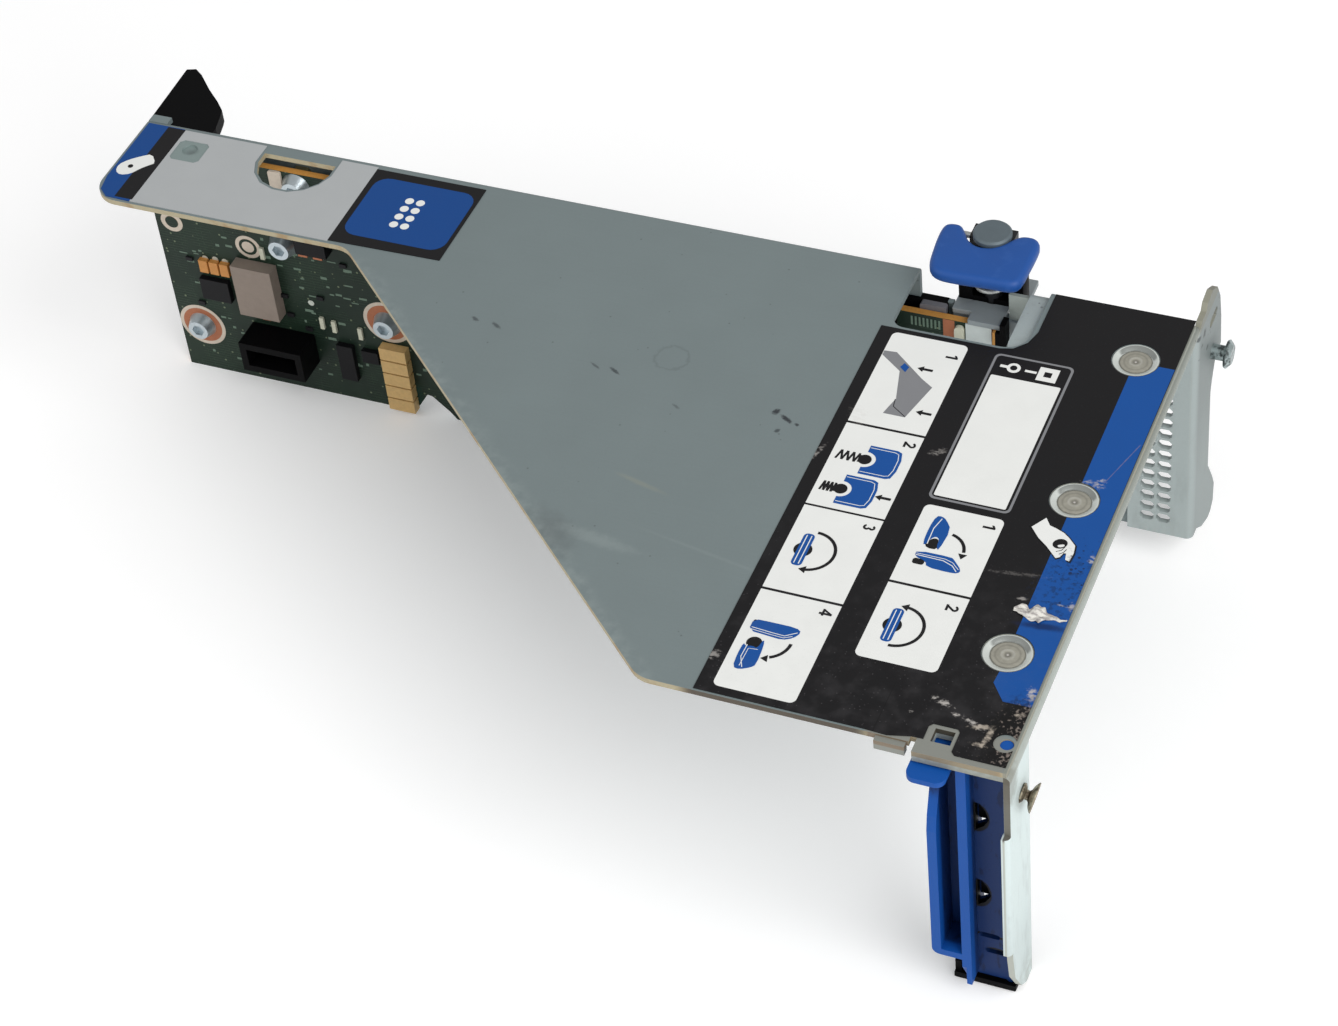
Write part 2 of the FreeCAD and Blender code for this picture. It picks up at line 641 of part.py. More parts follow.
def make_board_fixings():
    """Screws in the board and the standoffs that hold it off the far wall."""
    heads, posts = [], []
    back = S.board_front + S.board_thick
    reach = S.cover_far - S.sheet - back
    for x, z in SCREWS:
        head = cone(2.4, 3.3, 2.4, x, S.board_front - 2.4, z, "Y")
        recess = prism(1.5, 1.4, x, S.board_front - 2.6, z, "Y")
        heads.append(cut(head, recess))
        posts.append(prism(2.9, reach, x, back, z, "Y"))
    keep(group(*heads), "board_screws")
    keep(group(*posts), "board_standoffs")


def make_card_slots():
    """Three card connectors on the board, one for each card position."""
    bodies = []
    front = S.board_front - S.slot_height
    left, right = S.slot_left, S.board_right - S.slot_margin
    for step in range(3):
        z = S.slot_first - S.slot_pitch * step
        shell = box(left, right, front, S.board_front,
                    z - S.slot_width / 2, z + S.slot_width / 2)
        mouth = box(left + 1.5, right - 14.0, front - 1, front + 7.5,
                    z - S.key_width / 2, z + S.key_width / 2)
        short = box(right - 12.2, right - 1.5, front - 1, front + 7.5,
                    z - S.key_width / 2, z + S.key_width / 2)
        bodies.append(cut(shell, mouth, short))
    keep(group(*bodies), "card_slots")


def make_board_parts():
    """The smaller parts on the board, where they show below the arm and in the window."""
    front = S.board_front

    def parts(label, spans):
        """Blocks on the board, each from x0, x1, z0, z1 and its height."""
        keep(group(*[box(x0, x1, front - tall, front, z0, z1) for x0, x1, z0, z1, tall in spans]),
             label)

    shell = box(-214.2, -198.8, front - 7.4, front, -57.9, -49.9)
    mouth = box(-212.6, -200.4, front - 8, front - 2.0, -56.2, -51.6)
    keep(cut(shell, mouth), "block_connector")
    parts("large_capacitors", [(-181.6, -175.2, -65.8 + 3.7 * step, -62.5 + 3.7 * step, 2.2)
                               for step in range(5)])
    keep(box(-214.8, -205.0, front - 3.2, front, -45.2, -31.2), "choke")
    parts("tan_capacitors", [(-224.2 + 2.6 * step, -222.1 + 2.6 * step, -36.7, -33.3, 1.2)
                             for step in range(3)])
    parts("board_chips", [(-224.9, -217.8, -44.4, -38.6, 1.4), (-192.9, -189.0, -60.4, -50.4, 1.4),
                          (-186.8, -182.8, -54.0, -50.7, 1.2)])
    parts("chip_resistors", [(x - 0.8, x + 0.8, z - 0.5, z + 0.5, 0.5) for x, z in (
        (-227.0, -34.3), (-204.2, -39.6), (-203.6, -45.0), (-187.7, -27.1), (-199.6, -48.2),
        (-212.6, -28.6 + -3.0 * 6), (-195.2, -38.2), (-226.4, -47.0))])
    parts("status_parts", [(x - 0.5, x + 0.5, z - 1.6, z + 1.6, 0.6) for x, z in (
        (-195.9, -45.5), (-193.0, -45.9), (-186.6, -46.4), (-207.6, -28.2))])
    keep(box(-197.2, -189.8, front - 3.0, front, -23.7, -12.0), "edge_chip")
    parts("edge_chip_legs", [(x, x + 2.2, -24.6, -23.7, 2.6) for x in (-196.9, -193.3)])
    top, right = S.board_step - 1.8, S.board_right
    bar = box(right - 7.6, right - 5.7, front - 1.0, front, -15.0, top)
    keep(fuse(bar, rod(0.95, 1.0, right - 6.65, front - 1.0, top, "Y")), "edge_clip")
    keep(box(right - 5.4, right, front - 0.3, front, -16.0, S.board_step), "ground_plate")


def coil_of_wire(radius, wire, height, turns, steps=20, sides=8):
    """A spring as a chain of straight runs, so that its surface has few faces."""
    corner = wire / math.cos(math.pi / sides)
    count = round(turns * steps)
    path = [FreeCAD.Vector(radius * math.cos(2 * math.pi * step / steps),
                           radius * math.sin(2 * math.pi * step / steps),
                           height * step / count) for step in range(count + 1)]
    angles = [2 * math.pi * (step + 0.5) / sides for step in range(sides + 1)]
    section = [FreeCAD.Vector(radius + corner * math.cos(angle), 0, corner * math.sin(angle))
               for angle in angles]
    return Part.makePolygon(path).makePipeShell([Part.makePolygon(section)], True, False, 1)


def make_stud_lock():
    """Bracket, collar, spring, stud and folding handle of the turn lock."""
    x, y, radius = S.stud_x, S.stud_y, S.collar_radius
    shelf_low = -S.shelf_drop
    body = new_body("stud_bracket")
    shelf = outline(body, "XY_Plane", [
        (x - 3.0, S.board_front - 0.6), (x + 3.9, S.board_front - 0.6), (x + 3.9, y + 1.0),
        (x + radius, y + 1.0), (x + radius, y + 7.4), (x - radius, y + 7.4),
        (x - radius, S.cover_far - 2.9), (x - 3.0, S.cover_far - 2.9)], shelf_low)
    pad(body, shelf, S.sheet)
    foot = outline(body, "XZ_Plane", rectangle(x - radius, x + radius, -14.0, shelf_low),
                   S.sheet - S.cover_far)
    pad(body, foot, S.sheet)
    hole = circles(body, "XY_Plane", [(x, y)], S.stud_radius + 0.06, shelf_low)
    pocket(body, hole, S.sheet, reverse=True)
    keep(group(*[rod(1.3, 0.7, x + step * 4.6, S.cover_far, -11.4, "Y")
                 for step in (-1, 1)]), "bracket_rivets")
    cup_low = shelf_low + S.sheet
    cup = rod(radius, S.collar_top - cup_low, x, y, cup_low)
    front = box(x - radius - 1, x + radius + 1, y - radius - 1, S.collar_front, cup_low - 1,
                S.collar_top + 1)
    well = rod(S.stud_radius + 2.3, S.collar_top - cup_low, x, y, cup_low + 1.2)
    bore = rod(S.stud_radius + 0.06, 6, x, y, cup_low - 2)
    keep(cut(cup, front, well, bore), "stud_collar")
    under = S.bail_top - S.bail_thick
    pin_z = under + S.bail_thick / 2
    shaft_low = shelf_low - 9.0
    cap = rod(radius - 2.3, 0.4, x, y, under - 1.4)
    hole = rod(S.stud_radius + 0.05, 2, x, y, under - 2)
    keep(cut(cap, hole), "spring_cap")
    shaft = rod(S.stud_radius, under + 0.6 - shaft_low, x, y, shaft_low)
    point = cone(1.2, S.stud_radius, 1.6, x, y, shaft_low - 1.6)
    yoke = box(x - 4.4, x + 4.4, y - 1.2, y + 2.9, under - 1.0, S.stud_lift - 1.3)
    bore = rod(S.pin_radius + S.pin_play, 12, x - 6, y, pin_z, "X")
    cross = box(x - 2.25, x + 2.25, y - 0.6, y + 0.6, shaft_low + 1.2, shaft_low + 3.2)
    keep(cut(fuse(shaft, point, yoke, cross), bore), "lock_stud")
    rim = rod(3.9, 0.9, x, y, S.stud_lift - 1.3)
    crown = cone(3.9, 3.5, 0.4, x, y, S.stud_lift - 0.4)
    keep(fuse(rim, crown), "stud_head")
    wire = 0.45
    low = (cup_low + 1.2).value + wire
    height = (under - 1.4).value - wire - low
    coil = doc.addObject("Part::Feature", "Coil")
    coil.Shape = coil_of_wire(S.stud_radius.value + 1.4, wire, height, 3.0)
    place(coil, x, y, low)
    keep(coil, "lock_spring")
    body = new_body("bail_handle")
    half = S.bail_wide / 2
    far = y + S.bail_reach
    near_end = far - S.bail_length
    plan = outline(body, "XY_Plane", [
        (x - half + 1.0, near_end), (x + half - 0.6, near_end + 1.6),
        (x + half, far - 1.8), (x + half - 2.2, far - 0.3), (x + 5.3, far),
        (x + 4.6, y - 2.4), (x + 2.4, y - 4.1), (x, y - 4.6), (x - 2.4, y - 4.1),
        (x - 4.6, y - 2.4), (x - 5.3, far), (x - half + 2.2, far - 0.3),
        (x - half, far - 1.8)], under)
    pad(body, plan, S.bail_thick)
    round_edges(body, 1.6, both(edge_at("z", x=x - half + 1.0, y=near_end),
                                edge_at("z", x=x + half - 0.6, y=near_end + 1.6)))
    axle_hole = circles(body, "YZ_Plane", [(y, pin_z)], S.pin_radius, x - 7.6)
    pocket(body, axle_hole, 15.2, reverse=True)
    axle = rod(S.pin_radius, 15.0, x - 7.5, y, pin_z, "X")
    keep(axle, "bail_pin")


def make_label(label, points, holes=(), rounds=()):
    """A thin label on the cover, with its cut-outs."""
    body = new_body(label)
    pad(body, outline(body, "XY_Plane", points), S.label_thick)
    for corners in holes:
        pocket(body, outline(body, "XY_Plane", corners, S.label_thick), S.label_thick)
    for x, y, radius in rounds:
        pocket(body, circles(body, "XY_Plane", [(x, y)], radius, S.label_thick), S.label_thick)
    return body


def make_labels():
    """Main label on the wide plate and three small ones on the arm."""
    far = S.cover_far - 1.2
    make_label("main_label", [
        (-58.1, 0.1), (-26.5, 0.1), (-22.0, -0.1), (-17.9, 0.9), (-15.7, 1.0), (-15.7, 4.1),
        (-15.1, 4.8), (-10.6, 4.8), (-10.1, 4.2), (-10.1, -0.4), (-9.4, -1.1), (-0.2, -1.1),
        (0.0, far), (-28.2, far),
        (-28.2, 107.0), (-29.2, 103.6), (-31.4, 101.2), (-34.0, 100.5), (-58.1, 100.5)],
        rounds=[(x, y, S.clinch_radius + 0.1) for x, y in clinches()]
        + [(S.pivot_x - 0.3, S.pivot_y, 2.1)])
    make_label("end_label", [
        (-231.4, 99.4), (-230.6, 95.2), (-228.4, 93.3), (-222.6, 93.1), (-222.6, far - 0.6),
        (-231.4, far - 0.6)])
    make_label("panel_label", [
        (-222.6, 93.1), (-176.1, 93.1), (-176.1, far - 0.8), (-184.6, far - 0.8),
        (-184.6, 112.4), (-185.9, 109.2), (-188.3, 106.6), (-191.5, 105.1), (-194.9, 105.1),
        (-198.5, 106.4), (-201.2, 109.1), (-202.6, 112.4), (-202.6, far - 0.8),
        (-222.6, far - 0.8)],
        holes=[[(-221.6, 109.2), (-220.8, 108.4), (-215.4, 108.4), (-214.6, 109.2),
                (-214.6, 114.2), (-215.4, 115.0), (-220.8, 115.0), (-221.6, 114.2)]])
    make_label("press_label", [
        (-176.1, 93.4), (-150.9, 93.9), (-150.9, far - 1.4), (-176.1, far - 1.4)])


make_top_cover()
make_rear_frame()
make_clinch_buttons()
make_rear_studs()
make_corner_guide()
make_card_latch()
make_latch_liner()
make_latch_foot()
make_riser_board()
make_board_fixings()
make_card_slots()
make_board_parts()
make_stud_lock()
make_labels()
doc.recompute()

for item in doc.Objects:
    if "Invalid" in item.State or "Error" in item.State:
        raise RuntimeError(f"{item.Name} ({item.Label}) failed: {item.State}")
box_all = FreeCAD.BoundBox()
for item in kept:
    if item.Shape.isNull() or not item.Shape.isValid() or not item.Shape.Solids:
        raise RuntimeError(f"{item.Label} has no valid solid")
    box_all.add(item.Shape.BoundBox)
    print(f"{item.Label:18s} solids {len(item.Shape.Solids):3d}  volume {item.Shape.Volume:10.1f}")
print("box", box_all)

os.makedirs("parts", exist_ok=True)
for item in kept:
    item.Shape.exportStep(os.path.join("parts", item.Label + ".step"))
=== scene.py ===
"""Looks of the riser cage bracket: stage, finishes, label print, board print and wear.

Laid out as a Blender add-on and run as a script. The pieces are in metres in the frame of the
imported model. Drawings are in millimetres from the datum on the cover, as in the part's source:
X = 0 at the card end of the main label, Y = 0 at its near edge, Z = 0 on the cover's upper face.
"""

import math

import bmesh
import bpy
import numpy as np
from bpy.props import FloatProperty, FloatVectorProperty, IntProperty, PointerProperty
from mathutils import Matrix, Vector


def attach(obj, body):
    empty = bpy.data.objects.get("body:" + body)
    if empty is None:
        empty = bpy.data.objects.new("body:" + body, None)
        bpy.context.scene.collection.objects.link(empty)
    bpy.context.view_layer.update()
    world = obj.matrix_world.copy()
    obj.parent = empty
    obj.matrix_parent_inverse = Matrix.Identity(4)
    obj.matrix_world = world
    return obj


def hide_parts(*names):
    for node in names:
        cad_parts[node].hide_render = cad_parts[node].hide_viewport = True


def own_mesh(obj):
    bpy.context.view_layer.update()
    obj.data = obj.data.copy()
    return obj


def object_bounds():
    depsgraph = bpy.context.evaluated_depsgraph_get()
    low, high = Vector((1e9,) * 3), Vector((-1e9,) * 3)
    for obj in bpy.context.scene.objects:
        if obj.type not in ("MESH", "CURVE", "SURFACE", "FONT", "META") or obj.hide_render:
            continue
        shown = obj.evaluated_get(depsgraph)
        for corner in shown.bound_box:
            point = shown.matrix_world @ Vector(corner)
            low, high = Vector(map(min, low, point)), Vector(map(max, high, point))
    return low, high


bl_info = {
    "name": "Riser cage bracket",
    "version": (1, 0, 0),
    "blender": (4, 5, 0),
    "location": "3D View > Sidebar > Riser cage",
    "description": "Finishes, label print and wear of a riser cage bracket",
    "category": "Object",
}

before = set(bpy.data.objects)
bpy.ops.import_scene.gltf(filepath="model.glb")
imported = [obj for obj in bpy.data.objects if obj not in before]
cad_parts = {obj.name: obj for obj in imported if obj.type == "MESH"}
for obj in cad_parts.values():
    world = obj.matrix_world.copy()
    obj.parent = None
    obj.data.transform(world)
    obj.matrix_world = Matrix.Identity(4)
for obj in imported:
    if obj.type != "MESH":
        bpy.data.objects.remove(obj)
CAD_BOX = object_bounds()

MM = 0.001
DATUM = np.array([114.1, -67.15, 67.0])
LABEL_TOP = 0.15  # mm above the cover
BOARD_FRONT = 115.0
CLINCHES = [(-8.0, 24.5), (-8.0, 64.6), (-8.0, 104.7)]
WELD, JOIN = 2e-6, 1e-7  # m, points closer than this are one: in CAD nodes, in new pieces
SUNK, STAGGER = 0.01, 0.01  # print: mm into its ground, and steps between outlines of a layer


def hue(name, red, green, blue):
    """A colour property, given as it would be picked on a screen."""
    return FloatVectorProperty(name=name, description=f"Colour of the {name.lower()}", size=3,
                               subtype="COLOR_GAMMA", min=0, max=1,
                               default=(red / 255, green / 255, blue / 255))


def length(name, description, millimetres):
    """A length property."""
    return FloatProperty(name=name, description=description, unit="LENGTH",
                         default=millimetres * MM, precision=5, min=0)


class CageColours(bpy.types.PropertyGroup):
    steel: hue("Cover steel", 126, 138, 139)
    bright_steel: hue("Frame steel", 209, 221, 220)
    cut_edge: hue("Cut edges", 176, 166, 138)
    label_black: hue("Label black", 17, 16, 18)
    label_white: hue("Label white", 230, 231, 228)
    label_blue: hue("Label blue", 14, 76, 150)
    label_grey: hue("Label grey", 128, 129, 132)
    panel_grey: hue("Grey panel", 171, 174, 175)
    latch_blue: hue("Latch", 15, 78, 158)
    handle_blue: hue("Handle", 22, 76, 150)
    head_grey: hue("Stud head", 98, 110, 116)
    moulding: hue("Black mouldings", 5, 5, 6)
    board_green: hue("Board", 26, 41, 32)
    board_edge: hue("Board edges", 196, 140, 70)
    copper: hue("Copper", 168, 104, 72)
    tin: hue("Tinned parts", 200, 208, 206)
    cream: hue("Plated rings", 205, 192, 176)
    floor: hue("Floor", 250, 250, 250)


class CageSizes(bpy.types.PropertyGroup):
    ink: length("Ink step", "Height of one layer of print above the next", 0.02)
    digit: length("Digit height", "Height of the numbers in the pictures", 2.4)
    line: length("Line width", "Width of the arrows in the pictures", 0.62)
    coil: length("Coil width", "Width of the drawn spring's wire", 0.42)
    travel: length("Spring travel", "How far the lock's spring is pressed at most", 3.5)
    film: length("Film thickness", "Thickness of the torn label film", 0.08)
    edge: length("Edge rounding", "Rounding of the cut edges of the sheet", 0.18)
    moulded: length("Moulded rounding", "Rounding of the edges of moulded parts", 0.4)
    marks: IntProperty(name="Board marks", description="Short print marks on the board",
                       default=120, min=0, max=600)


class CageStage(bpy.types.PropertyGroup):
    place: FloatVectorProperty(name="Camera place", description="Where the camera stands", size=3,
                               subtype="TRANSLATION", unit="LENGTH",
                               default=(0.23316, -0.42042, 0.49496))
    turn: FloatVectorProperty(name="Camera turn", description="Turn of the camera about X, Y and Z",
                              size=3, subtype="EULER", unit="ROTATION",
                              default=tuple(math.radians(a) for a in (45.633, 4.6201, 21.6339)))
    lens: FloatProperty(name="Focal length", description="Focal length for a 36 mm sensor",
                        default=88.93, min=10)
    shift: FloatVectorProperty(name="Shift", description="Shift of the picture's centre", size=2,
                               default=(-0.01716, -0.00318))
    key: FloatProperty(name="Key lamp", description="Power of the large lamp on the right",
                       default=17.0, min=0, unit="POWER")
    fill: FloatProperty(name="Fill lamp", description="Power of the lamp on the left",
                        default=5.0, min=0, unit="POWER")
    glow: FloatProperty(name="Floor glow", description="Even white of the floor where it is seen",
                        default=0.17, min=0, max=1)
    sky: FloatProperty(name="Sky", description="Strength of the even light all round",
                       default=0.62, min=0)


def colours():
    return bpy.context.scene.cage_colours


def sizes():
    return bpy.context.scene.cage_sizes


def linear(colour):
    """A picked colour as the renderer's linear one: c / 12.92 when dark, else a power of 2.4."""
    c = np.array(colour[:3])
    dark = c <= 0.04045
    out = np.where(dark, c / 12.92, ((c + 0.055) / 1.055) ** 2.4)
    return (*out, 1.0)


# ---------------------------------------------------------------- finishes


class Wire:
    """One output of a node. An operator on it adds a Math node behind it."""

    def __init__(self, finish, socket):
        self.finish = finish
        self.socket = socket

    def math(self, operation, first, second=0.0):
        return self.finish.wire("Math", {"operation": operation}, {0: first, 1: second})

    def __add__(self, other):
        return self.math("ADD", self, other)

    def __sub__(self, other):
        return self.math("SUBTRACT", self, other)

    def __mul__(self, other):
        return self.math("MULTIPLY", self, other)

    def __truediv__(self, other):
        return self.math("DIVIDE", self, other)

    def __pow__(self, other):
        return self.math("POWER", self, other)

    def __abs__(self):
        return self.math("ABSOLUTE", self)

    def __rsub__(self, other):
        return self.math("SUBTRACT", other, self)

    __radd__ = __add__
    __rmul__ = __mul__


class Finish:
    """A node material. Each node comes from node(): its settings first, then its inputs."""

    def __init__(self, name):
        self.material = bpy.data.materials.new(name)
        self.material.use_nodes = True
        self.tree = self.material.node_tree
        self.tree.nodes.clear()
        self.mm = None

    def node(self, kind, settings=None, inputs=None):
        node = self.tree.nodes.new("ShaderNode" + kind)
        for name, value in (settings or {}).items():
            setattr(node, name, value)
        for key, value in (inputs or {}).items():
            if isinstance(value, Wire):
                self.tree.links.new(value.socket, node.inputs[key])
            else:
                node.inputs[key].default_value = value
        return node

    def wire(self, kind, settings=None, inputs=None, output=0):
        return Wire(self, self.node(kind, settings, inputs).outputs[output])

    def drawing(self):
        """Object coordinates as millimetres from the datum."""
        if self.mm is None:
            place = self.wire("TexCoord", output="Object")
            moved = self.wire("VectorMath", {"operation": "SUBTRACT"}, {0: place, 1: DATUM * MM})
            self.mm = self.wire("VectorMath", {"operation": "SCALE"}, {0: moved, "Scale": 1 / MM})
        return self.mm

    def split(self, vector):
        node = self.node("SeparateXYZ", inputs={0: vector})
        return [Wire(self, node.outputs[index]) for index in range(3)]

    def facing(self):
        """The three parts of the surface's direction."""
        return self.split(self.wire("TexCoord", output="Normal"))

    def noise(self, size, detail=2.0, stretch=(1, 1, 1)):
        """Soft noise from 0 to 1 with features of that size in millimetres."""
        at = self.wire("VectorMath", {"operation": "MULTIPLY"}, {0: self.drawing(), 1: stretch})
        return self.wire("TexNoise", None, {"Vector": at, "Scale": 1 / size, "Detail": detail,
                                            "Roughness": 0.55})

    def grains(self, size):
        """Distance to the nearest of scattered points, in units of their spacing."""
        return self.wire("TexVoronoi", None, {"Vector": self.drawing(), "Scale": 1 / size})

    def ramp(self, value, low, high):
        """0 below low, 1 above high, smooth between."""
        return self.wire("MapRange", {"interpolation_type": "SMOOTHSTEP"},
                         {"Value": value, "From Min": low, "From Max": high})

    def fall(self, value, low, high):
        """1 below low, 0 above high, smooth between."""
        return 1 - self.ramp(value, low, high)

    def within(self, value, low, high, soft=0.1):
        """1 between two limits, 0 outside."""
        return self.ramp(value, low - soft, low + soft) * self.fall(value, high - soft, high + soft)

    def patch(self, x, y, centre, radii, form, turn=0.0):
        """An ellipse's mask: 1 where ((x / rx)^2 + (y / ry)^2)^0.5 is below 1. Its form is how
        ragged the rim is, the size of the rags in millimetres, and how soft the rim is."""
        ragged, size, soft = form
        c, s = math.cos(math.radians(turn)), math.sin(math.radians(turn))
        u = ((x - centre[0]) * c + (y - centre[1]) * s) / radii[0]
        v = ((y - centre[1]) * c - (x - centre[0]) * s) / radii[1]
        away = (u * u + v * v) ** 0.5 + (self.noise(size, 3) - 0.5) * ragged
        return self.fall(away, 1 - soft, 1 + soft)

    def mix(self, mask, under, over):
        """One colour over another, by a mask. Colours that aren't wires are as picked."""
        under, over = (c if isinstance(c, Wire) else linear(c) for c in (under, over))
        return self.wire("Mix", {"data_type": "RGBA"}, {0: mask, 6: under, 7: over}, output=2)

    def lit(self, colour, factor):
        """A colour times a number that varies."""
        colour = colour if isinstance(colour, Wire) else linear(colour)[:3]
        return self.wire("VectorMath", {"operation": "SCALE"}, {0: colour, "Scale": factor})

    def coats(self, colour, *coats):
        """Tones painted over a colour in order, each by its mask."""
        for mask, tone in coats:
            colour = self.mix(mask, colour, tone)
        return colour

    def dabs(self, colour, u, v, tone, form, rows, worn=1.0):
        """Ellipses of one tone and form painted over a colour, thinned by a mask. A row has
        centre, radii, turn and strength."""
        return self.coats(colour, *((self.patch(u, v, centre, radii, form, turn) * worn * strength,
                                     tone) for centre, radii, turn, strength in rows))

    def surface(self, colour, roughness, metallic=0.0, bump=None, depth=0.02, **constants):
        """The shader. bump is a height, and depth its size in millimetres."""
        inputs = {"Base Color": colour, "Roughness": roughness, "Metallic": metallic}
        inputs.update({name.replace("_", " "): value for name, value in constants.items()})
        if bump is not None:
            inputs["Normal"] = self.wire("Bump", None, {"Strength": 1.0, "Distance": depth * MM,
                                                        "Height": bump})
        shader = self.wire("BsdfPrincipled", None, inputs)
        self.node("OutputMaterial", inputs={"Surface": shader})
        return self.material


def steel_finish(name, tone, marks=None, edge=None):
    """Zinc-coated sheet: cloudy tone, fine grain, faint rolling lines, and cut edges by direction."""
    f = Finish(name)
    x, y, z = f.split(f.drawing())
    cloud, grain = f.noise(14, 3), f.noise(0.5, 2)
    lines = f.noise(0.5, 1, stretch=(0.03, 1, 1))
    tint = 0.915 + cloud * 0.10 + grain * 0.09 - lines * 0.03
    colour = f.lit(tone, tint)
    if marks:
        colour = marks(f, x, y, z, colour)
    if edge:
        mask, worn = edge(f, x, y, z, *f.facing())
        colour = f.mix(mask, colour, worn)
    rough = 0.46 + cloud * 0.16 + grain * 0.08
    return f.surface(colour, rough, metallic=0.35, bump=grain * 0.5 + cloud * 0.6, depth=0.05)


def cover_marks(f, x, y, z, colour):
    """The cover's dark ticks, a faint ring, smears, pale grime by the slanted edge, warm bare
    rims at the near corner, a painted highlight on the fold at the card end, a bare square on the
    arm, and specks."""
    dark, pale = (0.17, 0.18, 0.20), (0.70, 0.74, 0.73)
    ticks = [((-69.2, 71.4), (0.6, 0.8), -30, 0.9), ((-66.6, 70.0), (1.4, 0.45), -30, 0.9),
             ((-64.2, 69.1), (0.5, 0.3), -30, 0.8), ((-67.2, 66.4), (0.4, 0.6), -30, 0.7),
             ((-103.6, 73.3), (1.2, 0.35), -30, 0.7), ((-88.2, 67.2), (0.8, 0.3), -30, 0.4),
             ((-136.4, 79.6), (0.9, 0.4), -30, 0.6), ((-131.5, 79.0), (1.1, 0.4), -30, 0.6),
             ((-107.8, 73.6), (1.2, 0.25), -30, 0.5)]
    colour = f.dabs(colour, x, y, dark, (1.8, 0.6, 0.5), ticks)
    away = ((x + 94.2) ** 2 + (y - 79.9) ** 2) ** 0.5
    ring = f.within(away + (f.noise(1.4, 2) - 0.5) * 1.6, 3.2, 3.6, 0.35)
    colour = f.mix(ring * 0.20, colour, dark)
    smears = [((0.34, 0.35, 0.35), (1.6, 2.2, 0.8), ((-98.0, 29.0), (5.5, 3.0), -40, 0.30)),
              (pale, (1.6, 1.4, 0.8), ((-89.0, 29.5), (7.0, 1.3), -8, 0.18)),
              ((0.70, 0.68, 0.55), (0.9, 2.0, 0.7), ((-86.8, 45.6), (4.6, 0.5), -14, 0.16)),
              (pale, (1.0, 1.5, 0.8), ((-68.0, 32.0), (12.0, 0.35), -10, 0.08))]
    for tone, form, row in smears:
        colour = f.dabs(colour, x, y, tone, form, [row])
    slant = (y + 0.3) * (-102.9) / 92.8 - 68.6
    rim = f.fall(x - slant + (f.noise(6, 2) - 0.5) * 6, 0.5, 6.0) * f.fall(y, 88, 92)
    warm = f.fall(y, 4.5, 6.5) * f.within(x, -26, -0.3, 0.4)
    bare = f.within(x, -222.5, -213.5, 0.2) * f.within(y, 107.5, 116.0, 0.2)
    colour = f.coats(colour, (rim * 0.22 * f.ramp(f.noise(3, 3), 0.35, 0.7), pale),
                     (warm * 0.55, (0.60, 0.58, 0.53)),
                     # painted highlight: the fold beyond the card end is made paler
                     (f.ramp(x, -0.35, -0.2) * 0.5, (0.62, 0.61, 0.54)),
                     (bare * 0.4, (0.60, 0.67, 0.65)))
    colour = f.dabs(colour, x, y, dark, (0.8, 1.0, 0.8), [((-217.8, 112.0), (1.3, 1.0), 0, 0.35)])
    return f.mix(f.fall(f.grains(4.5), 0.03, 0.06) * 0.35, colour, dark)


def cover_edges(f, x, y, z, nx, ny, nz):
    """The cut edges of the cover, tan with rust and grimy by the latch, and their colour."""
    flat = f.fall(abs(nz), 0.5, 0.8)
    mask = flat * f.fall(y, 118.0, 118.6) * f.ramp(z, -1.5, -1.2)
    rust = f.ramp(f.noise(4, 3), 0.45, 0.75)
    worn = f.mix(rust * 0.6, colours().cut_edge, (0.60, 0.45, 0.27))
    near, rear = f.fall(y, 0.6, 1.4), f.ramp(x, -0.5, -0.2)
    hole = f.within(x, -14.7, -10.5, 0.1) * f.within(y, 0.6, 4.3, 0.1)
    worn = f.coats(worn, (near * f.within(x, -60, -26, 2.0) * 0.9, (0.27, 0.24, 0.22)),
                   (near * f.within(x, -25.5, -18, 0.3) * 0.8, (0.46, 0.40, 0.35)),
                   (near * f.within(x, -18.0, -1.0, 1.0) * 0.6, (0.50, 0.45, 0.38)),
                   (hole, (0.36, 0.34, 0.29)), (rear, (0.58, 0.57, 0.51)))
    quiet = f.ramp(y, 94, 96) * f.ramp(x, -62, -60)
    quiet = quiet + f.ramp(y, 104, 106) * f.fall(x, -210, -208)
    return mask * (1 - rear * 0.2) * (1 - quiet), worn


def frame_edges(f, x, y, z, nx, ny, nz):
    """The cut edges of the frame's rear sheet: faces that don't look along the cage, dark at the
    top of the post, and their colour."""
    mask = f.fall(abs(nx), 0.10, 0.25) * f.ramp(x, -0.35, -0.25)
    post = f.fall(y, 3.0, 4.0) * f.ramp(z, -17.5, -16.5)
    slot = f.ramp(y, 126, 127) * f.ramp(z, -14, -12) * f.fall(abs(nz), 0.9, 0.95)
    tone = f.coats((0.66, 0.65, 0.58), (post * 0.85, (0.25, 0.21, 0.16)),
                   (slot * 0.5, (0.30, 0.28, 0.23)))
    return mask * (0.6 + post * 0.3), tone


